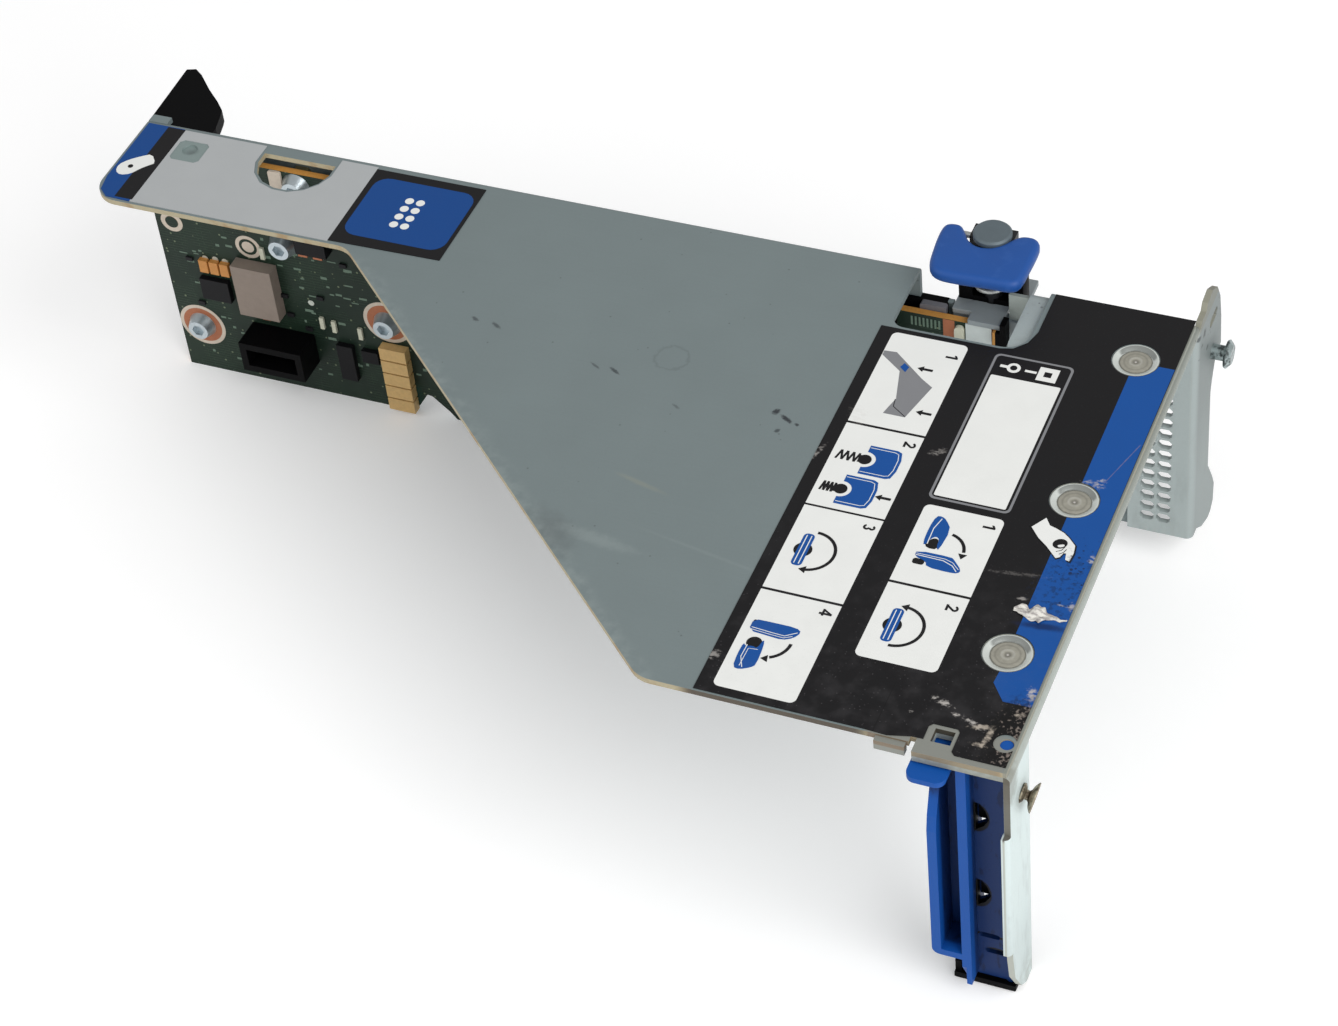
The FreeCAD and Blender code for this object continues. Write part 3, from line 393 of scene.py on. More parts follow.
def frame_marks(f, x, y, z, colour):
    """Grey vented wall and flange, a bright post with dull smears, and grime at the corners."""
    end = f.ramp(x, -20, -10)
    far, rim = f.ramp(y, 30, 90) * end, f.ramp(z, -3.2, -2.6) * end
    flange = f.ramp(y, 117.5, 119.5)
    tab = flange * f.ramp(z, -16, -7)
    high = flange * f.ramp(z, -45, -18)
    low = f.fall(z, -55, -35) * f.fall(y, 10, 14)
    tint = (1 - far * 0.36) * (1 - rim * 0.32) * (1 - flange * 0.32) * (1 - tab * 0.04)
    tint = tint * (1 - high * 0.2) * (1 - low * 0.12)
    colour = f.lit(colour, tint * (1 - (1 - end) * 0.30))
    smear = f.ramp(f.noise(2.2, 4, stretch=(1, 1, 0.25)), 0.5, 0.75)
    colour = f.coats(colour, (rim * 0.35, (0.60, 0.59, 0.52)), (smear * 0.18, (0.50, 0.52, 0.51)))
    colour = f.dabs(colour, y, z, (0.42, 0.40, 0.34), (1.4, 1.2, 0.5),
                    [((-1.0, -4.0), (2.6, 4.0), 0, 0.45)])
    base = f.fall(z, -64.5, -56) * f.fall(y, 10, 14) * f.ramp(f.noise(2.0, 3), 0.35, 0.7)
    colour = f.mix(base * 0.35, colour, (0.45, 0.44, 0.38))
    spots = [((118.4, -4.3), (0.9, 0.5), 0, 0.75), ((124.6, -11.4), (0.7, 0.5), 0, 0.75),
             ((122.2, -5.6), (0.9, 0.8), 0, 0.75), ((120.6, -7.6), (0.6, 0.35), 0, 0.75)]
    colour = f.dabs(colour, y, z, (0.20, 0.22, 0.23), (1.6, 0.6, 0.5), spots)
    dots = f.fall(f.grains(2.2), 0.08, 0.16) * f.ramp(y, 110, 118) * f.ramp(z, -18, -6)
    return f.mix(dots * 0.55, colour, (0.26, 0.27, 0.28))


def label_finish(name, tone, dust=1.0, shine=0.25, arm=0.0):
    """Printed film: dust, scuffs, specks, the bare, dirty corner and a painted shadow under the torn
    film, all placed on the drawing.
    """
    f = Finish(name)
    x, y, z = f.split(f.drawing())
    cloud = f.noise(7, 3)
    colour = f.lit(tone, (0.96 + cloud * 0.08) * (1 - f.fall(x, -150, -148) * arm))
    grey, pale = (0.42, 0.41, 0.42), (0.74, 0.72, 0.70)
    speck, near = f.fall(f.grains(0.9), 0.08, 0.16), f.fall(y, 8, 60)
    haze = f.ramp(f.noise(5, 3), 0.42, 0.72)
    colour = f.coats(colour, (speck * (0.05 + near * 0.22) * dust, grey),
                     (haze * near * 0.10 * dust, grey))
    scuffs = [((-15.4, 10.1), (1.9, 0.55), -15, 0.8), ((-12.0, 7.9), (0.7, 0.45), 0, 0.8),
              ((-19.8, 6.4), (0.35, 0.4), 0, 0.7), ((-8.2, 6.7), (2.1, 0.5), -22, 0.75),
              ((-57.6, 8.6), (1.2, 0.9), 40, 0.5), ((-58.0, 62.5), (0.5, 2.4), -20, 0.45),
              ((-36.0, 69.6), (1.6, 0.7), 30, 0.35), ((-9.5, 37.8), (0.8, 0.4), 0, 0.5),
              ((-6.8, 69.3), (1.9, 0.9), 25, 0.5), ((-4.5, 70.0), (0.8, 1.2), -20, 0.6),
              ((-0.5, 50.8), (0.6, 0.9), 0, 0.7), ((-0.8, 16.2), (0.9, 1.4), 30, 0.8),
              ((-12.0, 43.5), (5.0, 0.4), 8, 0.12), ((-53.6, 74.5), (1.5, 2.5), 30, 0.15),
              ((-0.5, 38.4), (0.5, 0.9), 0, 0.6), ((-1.6, 38.2), (1.2, 0.25), 0, 0.5)]
    wisp = f.ramp(f.noise(0.7, 4, stretch=(0.6, 1, 1)), 0.40, 0.58)
    colour = f.dabs(colour, x, y, pale, (2.0, 0.5, 0.45), scuffs, wisp)
    # painted shadow: a dark blue streak on the label just below the torn film
    colour = f.dabs(colour, x, y, (0.02, 0.11, 0.28), (0.8, 1.6, 0.6),
                    [((-4.0, 32.3), (4.2, 0.75), 6, 0.75)])
    line = abs((y - 76.0) * 0.30 - (x + 2.4)) + (f.noise(1.2, 2) - 0.5) * 0.25
    scratch = f.fall(line, 0.03, 0.14) * f.within(y, 70.5, 82, 0.4)
    bits = f.fall(f.grains(1.1) + (f.noise(4, 3) - 0.5) * 0.9, 0.16, 0.28)
    bits = bits * f.within(y, 36, 54, 3) * f.ramp(x, -8.0, -4)
    colour = f.coats(colour, (scratch * 0.35, (0.62, 0.52, 0.50)), (bits * 0.7, (0.08, 0.08, 0.10)))
    colour = f.dabs(colour, x, y, (0.06, 0.16, 0.30), (0.8, 2.5, 0.6),
                    [((-3.6, 42.5), (4.4, 8.5), 0, 0.5)], f.ramp(f.noise(0.9, 4), 0.50, 0.62))
    crease = f.fall(abs(x + 24.6 - y * 0.01), 0.03, 0.12) * f.fall(y, 11, 15)
    corner = f.patch(x, y, (-1.6, 5.5), (4.2, 8.0), (1.3, 0.9, 0.4))
    flakes = f.ramp(f.noise(0.6, 4) + f.ramp(x, -4.5, -0.2) * 0.12, 0.60, 0.74)
    dirt = f.mix(flakes, (0.05, 0.045, 0.045), (0.50, 0.46, 0.43))
    colour = f.coats(colour, (crease * 0.6, (0.02, 0.02, 0.02)), (corner * 0.9, dirt))
    bare = [((-5.2, 4.6), (0.5, 2.2), -10, 1), ((-6.9, 6.5), (1.8, 0.5), 12, 1),
            ((-6.3, 2.4), (1.2, 0.4), 0, 1), ((-1.5, 11.0), (0.8, 0.4), 20, 1)]
    colour = f.dabs(colour, x, y, (0.66, 0.62, 0.57), (2.2, 0.6, 0.4), bare, 0.25 + wisp * 0.65)
    rough = 0.42 + cloud * 0.15 + corner * 0.2
    return f.surface(colour, rough, bump=f.noise(0.25, 2) * 0.3 + cloud, depth=0.03,
                     Specular_IOR_Level=shine)


def moulded_finish(name, tone, rough=0.45, worn=None, shade=None, shine=0.4):
    """Moulded plastic: faint flow marks, fine texture, and rubbed patches where asked for."""
    f = Finish(name)
    x, y, z = f.split(f.drawing())
    flow, fine = f.noise(6, 3, stretch=(1, 1, 0.3)), f.noise(0.35, 2)
    colour = f.lit(tone, 0.93 + flow * 0.10 + fine * 0.05)
    if shade:
        colour = shade(f, x, y, z, colour)
    if worn:
        rub = f.ramp(f.noise(3.0, 4, stretch=(1, 1, 0.4)), 0.55, 0.72)
        colour = f.mix(rub * 0.22, colour, worn)
    return f.surface(colour, rough + fine * 0.15, bump=fine * 0.4 + flow * 0.5, depth=0.03,
                     Specular_IOR_Level=shine)


def latch_shade(f, x, y, z, colour):
    """Inside the latch the colour falls to navy as painted shade under the cover's edge, with dark
    scrapes, spots, and painted shade in the openings and in two bands along recess edges."""
    # painted shade: the inside of the latch, under the cover's edge, is darkened to navy
    shaded_inside = f.within(y, 1.2, 9.0, 0.5) * f.fall(z, -3.4, -3.0)
    scrape = f.ramp(f.noise(1.6, 3, stretch=(1, 1, 0.3)), 0.58, 0.66) * shaded_inside
    colour = f.coats(colour, (shaded_inside * 0.74, (0.06, 0.12, 0.27)), (scrape * 0.45, (0.04, 0.06, 0.14)))
    front = f.within(y, 2.6, 4.4, 0.1)
    unlit = (0, 0, 0)
    # painted shade: the two openings are painted black for their unlit inside
    unlit_holes = [((-7.4, -20.0), (2.65, 3.9), 0, 1), ((-7.4, -41.1), (2.65, 3.9), 0, 1)]
    colour = f.dabs(colour, x, z, unlit, (0.1, 1.0, 0.06), unlit_holes, front)
    # painted shadows: two dark bands along recess edges below the openings
    shadow_bands = [((-5.3, -52.8), (2.8, 0.5), -4, 1), ((-3.5, -57.0), (2.4, 0.85), -8, 1)]
    colour = f.dabs(colour, x, z, unlit, (0.3, 0.8, 0.2), shadow_bands, front)
    spots = f.fall(f.grains(2.4), 0.05, 0.12) * f.ramp(z, -64, -20)
    return f.mix(spots * 0.25, colour, (0.03, 0.05, 0.10))


def metal_finish(name, tone, metal=0.85, rough=0.3, stain=None):
    """Turned or plated small parts: a cloudy tone, fine bump, and dark stains where asked for."""
    f = Finish(name)
    cloud, fine = f.noise(1.6, 3), f.noise(0.2, 2)
    colour = f.lit(tone, 0.86 + cloud * 0.22)
    if stain:
        colour = f.mix(f.ramp(f.noise(1.1, 4), 0.42, 0.62) * 0.85, colour, stain)
    return f.surface(colour, rough + cloud * 0.18, metal, bump=fine + cloud, depth=0.02)


def clinch_finish():
    """The joints about their centres: a cone with a painted highlight, and painted shade on its far
    side, painted shade in the groove and the dimple, a painted glint at the dimple's centre, and a
    beige floor with a ring."""
    f = Finish("clinch_steel")
    x, y, z = f.split(f.drawing())
    away = None
    for centre in CLINCHES:
        reach = ((x - centre[0]) ** 2 + (y - centre[1]) ** 2) ** 0.5
        away = reach if away is None else away.math("MINIMUM", away, reach)
    nx, ny, nz = f.facing()
    cloud = f.noise(1.0, 3)
    floor = f.lit((0.68, 0.67, 0.62), 0.75 + cloud * 0.45)
    away = away + (f.noise(0.8, 3) - 0.5) * 0.25
    # painted highlight and painted shade: the cone is bright, and dark on its far side, by how it
    # faces
    cone_highlight_and_shade = f.mix(f.ramp(ny * -1.0, 0.12, 0.24) * 0.7, (0.88, 0.90, 0.88), (0.34, 0.35, 0.34))
    colour = f.coats(floor, (f.within(away, 0.9, 1.3, 0.2) * 0.35, (0.85, 0.85, 0.82)),
                     (f.within(away, 2.1, 2.4, 0.2) * 0.35, (0.40, 0.39, 0.36)),
                     # painted shade in the dimple, and a painted glint at its centre
                     (f.fall(away, 0.5, 0.8) * 0.45, (0.36, 0.35, 0.34)),
                     (f.fall(away, 0.12, 0.3) * 0.8, (0.90, 0.88, 0.86)),
                     (f.ramp(away, 3.15, 3.3), cone_highlight_and_shade),
                     # painted shade in the groove between the cone and the floor
                     (f.within(away, 3.0, 3.3, 0.12) * 0.55, (0.24, 0.24, 0.22)),
                     (f.ramp(away, 4.4, 4.6), (0.42, 0.42, 0.40)))
    return f.surface(colour, 0.34 + cloud * 0.1, 0.55, bump=cloud, depth=0.02)


def board_finish():
    """Solder mask over copper: fine tracks, pale vias, teal by the notch, orange cut edges."""
    f = Finish("board")
    x, y, z = f.split(f.drawing())
    tone = colours()
    cloud = f.noise(12, 2)
    base = f.mix(f.ramp(cloud, 0.35, 0.65), tone.board_green, (0.125, 0.19, 0.145))
    tracks = f.wire("TexBrick", {"offset": 0.37, "squash": 0.6},
                    {"Vector": f.wire("CombineXYZ", None, {0: x, 1: z, 2: 0.0}),
                     "Scale": 1.0, "Mortar Size": 0.09, "Mortar Smooth": 0.3,
                     "Brick Width": 5.7, "Row Height": 0.75}, output="Fac")
    busy = f.ramp(f.noise(7, 2), 0.45, 0.6)
    vias = f.fall(f.grains(2.2), 0.09, 0.14)
    nx, ny, nz = f.facing()
    teal = f.within(x, -181, -174, 0.8) * f.fall(z, -60, -58)
    notch = f.within(x, -178.5, -165.5, 0.3) * f.fall(z, -61, -60)
    rim = f.mix(notch, tone.board_edge, (0.10, 0.36, 0.34))
    colour = f.coats(base, (tracks * busy * 0.3, (0.24, 0.34, 0.26)),
                     (vias * 0.55, (0.55, 0.60, 0.48)), (teal * 0.45, (0.10, 0.30, 0.28)),
                     (f.fall(abs(ny), 0.4, 0.7), f.lit(rim, 0.8 + f.noise(0.6, 2) * 0.4)))
    return f.surface(colour, 0.38 + cloud * 0.1, bump=tracks * busy + vias, depth=0.04,
                     Specular_IOR_Level=0.2)


def plain_finish(name, tone, rough=0.5, metal=0.0, size=1.0, spread=0.25, shine=0.35):
    """A small part's own colour, mottled at the scale of the part."""
    f = Finish(name)
    mottle, fine = f.noise(size, 3), f.noise(size * 0.2, 2)
    colour = f.lit(tone, 1 - spread / 2 + mottle * spread)
    return f.surface(colour, rough + fine * 0.12, metal, bump=fine, depth=0.02,
                     Specular_IOR_Level=shine)


def dress(finish, *names):
    """Gives CAD nodes their finish."""
    for name in names:
        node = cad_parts[name]
        if not node.material_slots:
            node.data.materials.append(finish)
        for slot in node.material_slots:
            slot.material = finish


def soften(width, *names, angle=30, segments=2):
    """Rounds the edges of CAD nodes with modifiers: weld, then bevel the sharp edges."""
    for name in names:
        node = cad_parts[name]
        weld = node.modifiers.new("Weld", "WELD")
        weld.merge_threshold = WELD
        bevel = node.modifiers.new("Edges", "BEVEL")
        bevel.width = width
        bevel.segments = segments
        bevel.limit_method = "ANGLE"
        bevel.angle_limit = math.radians(angle)


# ---------------------------------------------------------------- shapes


def to_metres(points):
    """Drawing millimetres to metres in the model's frame."""
    return (np.asarray(points, float) + DATUM) * MM


def on_label(points, height):
    """Points of a drawing on the labels: x, y, and a height above the cover."""
    return np.column_stack([points[:, 0], points[:, 1], np.full(len(points), height)])


def on_board(points, height):
    """Points of a drawing on the board's front: x, z, and a height towards the viewer."""
    return np.column_stack([points[:, 0], np.full(len(points), BOARD_FRONT - height), points[:, 1]])


def around(x, y, reach, angles):
    """Points about a centre: x + r cos a, y + r sin a."""
    return np.column_stack([x + reach * np.cos(angles), y + reach * np.sin(angles)])


def quads(rows, columns, closed=True):
    """Faces between neighbours in a grid of points, row by row; closed joins the last column to
    the first."""
    i, j = (part.ravel() for part in np.meshgrid(np.arange(rows - 1),
                                                 np.arange(columns - (not closed)), indexing="ij"))
    k = (j + 1) % columns
    return np.column_stack([i * columns + j, i * columns + k, (i + 1) * columns + k,
                            (i + 1) * columns + j]).tolist()


def walled(rings):
    """Rings of points, one after another, as a closed shape: walls between them, a cap at each
    end."""
    n = len(rings[0])
    index = np.arange(n)
    caps = [list(index[::-1]), list(index + (len(rings) - 1) * n)]
    return np.vstack(rings), caps + quads(len(rings), n)


def block(x0, x1, y0, y1, radii=0.0, steps=6):
    """A rectangle whose corners are quarter circles; radii from the lower left, anticlockwise."""
    radii = np.broadcast_to(radii, 4)
    centres = [(x0 + radii[0], y0 + radii[0]), (x1 - radii[1], y0 + radii[1]),
               (x1 - radii[2], y1 - radii[2]), (x0 + radii[3], y1 - radii[3])]
    parts = []
    for index, ((x, y), r) in enumerate(zip(centres, radii)):
        a = np.radians(180 + 90 * index + np.linspace(0, 90, steps if r else 1))
        parts.append(around(x, y, r, a))
    return np.vstack(parts)


def disc(x, y, radius, steps=28, squeeze=1.0, turn=0.0):
    """A circle or ellipse: x + r cos a, y + r s sin a, turned by an angle."""
    a = np.linspace(0, 2 * np.pi, steps, endpoint=False)
    u, v = radius * np.cos(a), radius * squeeze * np.sin(a)
    t = math.radians(turn)
    return np.column_stack([x + u * math.cos(t) - v * math.sin(t),
                            y + u * math.sin(t) + v * math.cos(t)])


def arc(x, y, radius, width, start, end, steps=24):
    """A band between two arcs about one centre, from start to end in degrees."""
    a = np.radians(np.linspace(start, end, steps))
    ring = np.vstack([around(x, y, radius + width / 2, a),
                      around(x, y, radius - width / 2, a)[::-1]])
    return ring if end > start else ring[::-1]


def arrow_head(x, y, direction, size):
    """A triangle whose tip is size ahead of the point, and whose foot lies across it."""
    a = np.radians(direction + np.array([0, 90, 270]))
    return around(x, y, np.array([1.0, 0.66, 0.66]) * size, a)


def stroke(points, width):
    """A line of even width along points: each is offset both ways along its normal."""
    p = np.asarray(points, float)
    run = np.gradient(p, axis=0)
    normal = np.column_stack([-run[:, 1], run[:, 0]])
    normal /= np.linalg.norm(normal, axis=1, keepdims=True)
    return np.vstack([p - normal * width / 2, (p + normal * width / 2)[::-1]])


def smooth(points, rounds=2):
    """Cuts the corners of a closed outline: each side keeps its quarter and three-quarter points."""
    p = np.asarray(points, float)
    for _ in range(rounds):
        following = np.roll(p, -1, axis=0)
        p = np.stack([p * 0.75 + following * 0.25, p * 0.25 + following * 0.75], 1).reshape(-1, 2)
    return p


def turned_right(points):
    """The outline anticlockwise: reversed where its signed area is negative."""
    p = np.asarray(points, float)
    following = np.roll(p, -1, axis=0)
    area = np.sum(p[:, 0] * following[:, 1] - following[:, 0] * p[:, 1])
    return p if area > 0 else p[::-1]


def prism(points, low, high, lay=on_label):
    """A flat outline given thickness: two caps and a wall of quads."""
    p = turned_right(points)
    return walled([lay(p, low), lay(p, high)])


def slab(outline, low, high, radius, steps=5):
    """A plate with round edges: at angle a its rim steps in by r (1 - cos a), and its height is
    r (1 - sin a) short of the face."""
    p = turned_right(outline)
    run = np.roll(p, -1, axis=0) - np.roll(p, 1, axis=0)
    outward = np.column_stack([run[:, 1], -run[:, 0]]) / np.linalg.norm(run, axis=1, keepdims=True)
    rings = []
    for a in np.radians(np.linspace(-90, 90, 2 * steps)):
        edge = low + radius if a < 0 else high - radius
        rings.append(on_label(p - outward * radius * (1 - np.cos(a)), edge + radius * np.sin(a)))
    return walled(rings)


def leaned(part, origin, along):
    """A part turned about a vertical axis laid along another direction, from an origin."""
    points, faces = part
    axis = np.asarray(along, float) / np.linalg.norm(along)
    side = np.cross((0, 0, 1), axis)
    side /= np.linalg.norm(side)
    return points @ np.array([side, np.cross(axis, side), axis]) + origin, faces


def lathe(profile, x, y, steps=40):
    """A closed profile of radius and height carried round a vertical axis; its ends are poles."""
    r, h = np.asarray(profile, float).T
    a = np.linspace(0, 2 * np.pi, steps, endpoint=False)
    ring = np.stack([x + np.outer(r, np.cos(a)), y + np.outer(r, np.sin(a)),
                     np.repeat(h[:, None], steps, 1)], -1).reshape(-1, 3)
    return ring, quads(len(r), steps)


def coil(low, high, wire, turns, steps=24, sides=10):
    """A round wire along a helix between two corners of a box: at angle a its centre line is at
    r (cos a, sin a) and climbs evenly; wire is the radius of its section."""
    a = np.linspace(0, 2 * np.pi * turns, int(turns * steps) + 1)
    r, rise = (high[0] - low[0]) / 2 - wire, high[2] - low[2] - 2 * wire
    outward = np.column_stack([np.cos(a), np.sin(a), 0 * a])
    path = (low + high) / 2 + outward * r
    path[:, 2] = low[2] + wire + rise * a / a[-1]
    along = np.column_stack([-r * np.sin(a), r * np.cos(a), np.full(len(a), rise / a[-1])])
    up = np.cross(outward, along / np.linalg.norm(along, axis=1, keepdims=True))
    t = np.linspace(0, 2 * np.pi, sides, endpoint=False)[None, :, None]
    return walled(path[:, None] + wire * (outward[:, None] * np.cos(t) + up[:, None] * np.sin(t)))


def piece(name, parts, finish, body="cage", smooth_angle=None):
    """Makes one piece of several parts, each points in millimetres and faces, and rides a body."""
    points, faces, start = [], [], 0
    for corners, sides in parts:
        points.append(corners)
        faces += [[index + start for index in side] for side in sides]
        start += len(corners)
    mesh = bpy.data.meshes.new(name)
    mesh.from_pydata(to_metres(np.vstack(points)).tolist(), [], faces)
    work = bmesh.new()
    work.from_mesh(mesh)
    bmesh.ops.remove_doubles(work, verts=work.verts, dist=JOIN)
    bmesh.ops.recalc_face_normals(work, faces=work.faces)
    work.to_mesh(mesh)
    work.free()
    mesh.materials.append(finish)
    made = bpy.data.objects.new(name, mesh)
    bpy.context.scene.collection.objects.link(made)
    if smooth_angle:
        mesh.shade_smooth()
        made.modifiers.new("Corners", "EDGE_SPLIT").split_angle = math.radians(smooth_angle)
    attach(made, body)
    return made


def ink(outlines, layer, lay=on_label, base=LABEL_TOP):
    """Outlines as a layer of print: layer 1 lies on the label, each higher one above the last."""
    step = sizes().ink / MM
    return [prism(points, base - SUNK, base + step * (layer + STAGGER * index), lay)
            for index, points in enumerate(outlines)]


def digit(character, x, y):
    """A bold number as outlines: its top towards +X, centred on a point of the label."""
    wide = 0.18
    shapes = {
        "1": [[(-0.06, -0.5), (0.15, -0.5), (0.15, 0.5), (-0.03, 0.5), (-0.27, 0.34), (-0.27, 0.15),
               (-0.06, 0.27)]],
        "2": [arc(0, 0.2, 0.21, wide, 168, -35, 16), block(-0.31, 0.31, -0.5, -0.31),
              stroke([(0.17, 0.09), (-0.2, -0.42)], wide)],
        "3": [arc(0, 0.23, 0.18, wide * 0.95, 160, -80, 16), arc(0, -0.2, 0.2, wide, 85, -160, 16)],
        "4": [block(0.04, 0.24, -0.5, 0.5), block(-0.34, 0.36, -0.29, -0.11),
              stroke([(0.12, 0.46), (-0.26, -0.2)], wide * 0.9)]}
    tall = sizes().digit / MM
    made = []
    for shape in shapes[character]:
        u, v = np.asarray(shape, float).T * tall
        made.append(np.column_stack([x + v, y - u]))
    return made


# ---------------------------------------------------------------- operators


class CAGE_OT_stage(bpy.types.Operator):
    """Floor, camera, lamps and even light"""

    bl_idname = "cage.stage"
    bl_label = "Stage"

    def execute(self, context):
        stage = context.scene.cage_stage
        context.scene.view_settings.view_transform = "Standard"
        camera = bpy.data.objects.new("camera", bpy.data.cameras.new("camera"))
        camera.location = stage.place
        camera.rotation_euler = stage.turn
        camera.data.lens = stage.lens
        camera.data.sensor_width = 36.0
        camera.data.shift_x, camera.data.shift_y = stage.shift
        camera.data.clip_start = 0.01
        context.scene.collection.objects.link(camera)
        context.scene.camera = camera

        low, side = CAD_BOX[0][2], 3.0
        mesh = bpy.data.meshes.new("floor")
        mesh.from_pydata([(-side, -side, low), (side, -side, low), (side, side, low),
                          (-side, side, low)], [], [(0, 1, 2, 3)])
        floor = bpy.data.objects.new("floor", mesh)
        context.scene.collection.objects.link(floor)
        f = Finish("floor")
        tone = f.lit(colours().floor, 0.985 + f.noise(60, 2) * 0.02)
        path = f.node("LightPath")
        seen = Wire(f, path.outputs["Is Camera Ray"])
        for kind in ("Is Glossy Ray", "Is Transmission Ray"):
            seen = seen.math("MAXIMUM", seen, Wire(f, path.outputs[kind]))
        glow = f.lit((1.0, 1.0, 1.0, 1.0), seen)
        mesh.materials.append(f.surface(tone, 0.9, Specular_IOR_Level=0.0, Emission_Color=glow,
                                        Emission_Strength=stage.glow))

        for name, place, power, size in (("key", (1.05, -0.55, 1.0), stage.key, 1.1),
                                         ("fill", (-0.9, -0.9, 0.9), stage.fill, 1.2)):
            lamp = bpy.data.objects.new(name, bpy.data.lights.new(name, "AREA"))
            lamp.data.size = size
            lamp.data.energy = power
            lamp.location = place
            aim = Vector((0, 0, 0.03)) - Vector(place)
            lamp.rotation_euler = aim.to_track_quat("-Z", "Y").to_euler()
            context.scene.collection.objects.link(lamp)

        world = bpy.data.worlds.new("sky")
        world.use_nodes = True
        context.scene.world = world
        nodes, links = world.node_tree.nodes, world.node_tree.links
        nodes.clear()
        path = nodes.new("ShaderNodeLightPath")
        seen = nodes.new("ShaderNodeMix")
        seen.inputs[2].default_value = stage.sky
        seen.inputs[3].default_value = 1.0
        light = nodes.new("ShaderNodeBackground")
        output = nodes.new("ShaderNodeOutputWorld")
        links.new(path.outputs["Is Camera Ray"], seen.inputs[0])
        links.new(seen.outputs[0], light.inputs["Strength"])
        links.new(light.outputs[0], output.inputs["Surface"])
        return {"FINISHED"}


class CAGE_OT_sheet_metal(bpy.types.Operator):
    """Finishes of the cover, the frame, the studs and the clinch joints"""

    bl_idname = "cage.sheet_metal"
    bl_label = "Sheet metal"

    def execute(self, context):
        tone = colours()
        dress(steel_finish("cover_steel", tone.steel, marks=cover_marks, edge=cover_edges),
              "top_cover")
        dress(steel_finish("frame_steel", tone.bright_steel, marks=frame_marks, edge=frame_edges),
              "rear_frame")
        dress(steel_finish("lock_bracket_steel", (0.56, 0.59, 0.60)), "stud_bracket",
              "bracket_rivets")
        dress(metal_finish("plated_stud", (0.66, 0.71, 0.71), rough=0.26, stain=(0.20, 0.22, 0.22)),
              "far_stud")
        stained = metal_finish("stained_stud", (0.66, 0.62, 0.54), rough=0.38,
                               stain=(0.20, 0.15, 0.10))
        dress(stained, "near_stud")
        foot = [(0, 0), (1.9, 0), (1.9, 0.3), (1.3, 0.7), (0.95, 0.8), (0.9, 1.3), (1.2, 1.6),
                (2.0, 1.85), (2.7, 2.3), (2.9, 2.5), (2.85, 2.62), (2.3, 2.4), (1.6, 2.15),
                (0.8, 2.0), (0, 1.95)]
        made = piece("bent_stud", [leaned(lathe(foot, 0, 0, steps=32), origin=(0.8, 4.2, -11.9),
                                         along=(1, 0, -0.22))],
                     stained, smooth_angle=40)
        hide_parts("near_stud")
        soften(sizes().edge, "top_cover", "rear_frame", "stud_bracket")
        clinch = clinch_finish()
        dress(clinch, "clinch_buttons")
        ring = [(0, -0.50), (0.35, -0.46), (0.6, -0.36), (1.0, -0.30), (1.2, -0.24), (1.4, -0.30),
                (1.8, -0.38), (2.8, -0.36), (3.05, -0.40), (3.15, -0.50), (3.3, -0.50),
                (3.45, -0.40), (4.15, -0.02), (4.35, 0.05), (4.5, 0.02), (4.6, -0.06),
                (4.6, -0.6), (0, -0.6)]
        made = piece("clinch_rings", [lathe(ring, x, y) for x, y in CLINCHES], clinch,
                     smooth_angle=50)
        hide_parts("clinch_buttons")
        return {"FINISHED"}


class CAGE_OT_mouldings(bpy.types.Operator):
    """Finishes of the blue latch, its foot (black as painted shade), the corner guide and the collar
    """

    bl_idname = "cage.mouldings"
    bl_label = "Mouldings"

    def execute(self, context):
        tone = colours()
        dress(moulded_finish("latch_plastic", tone.latch_blue, 0.42, shade=latch_shade, shine=0.22),
              "card_latch")
        # the latch foot takes this near-black as painted shade: its ledge lies in shadow
        dress(moulded_finish("black_plastic_and_shade", tone.moulding, 0.5, shine=0.07), "corner_guide",
              "latch_foot", "latch_liner", "stud_collar")
        soften(sizes().moulded, "card_latch", "corner_guide", segments=3)
        soften(sizes().edge, "latch_foot", "stud_collar")
        return {"FINISHED"}


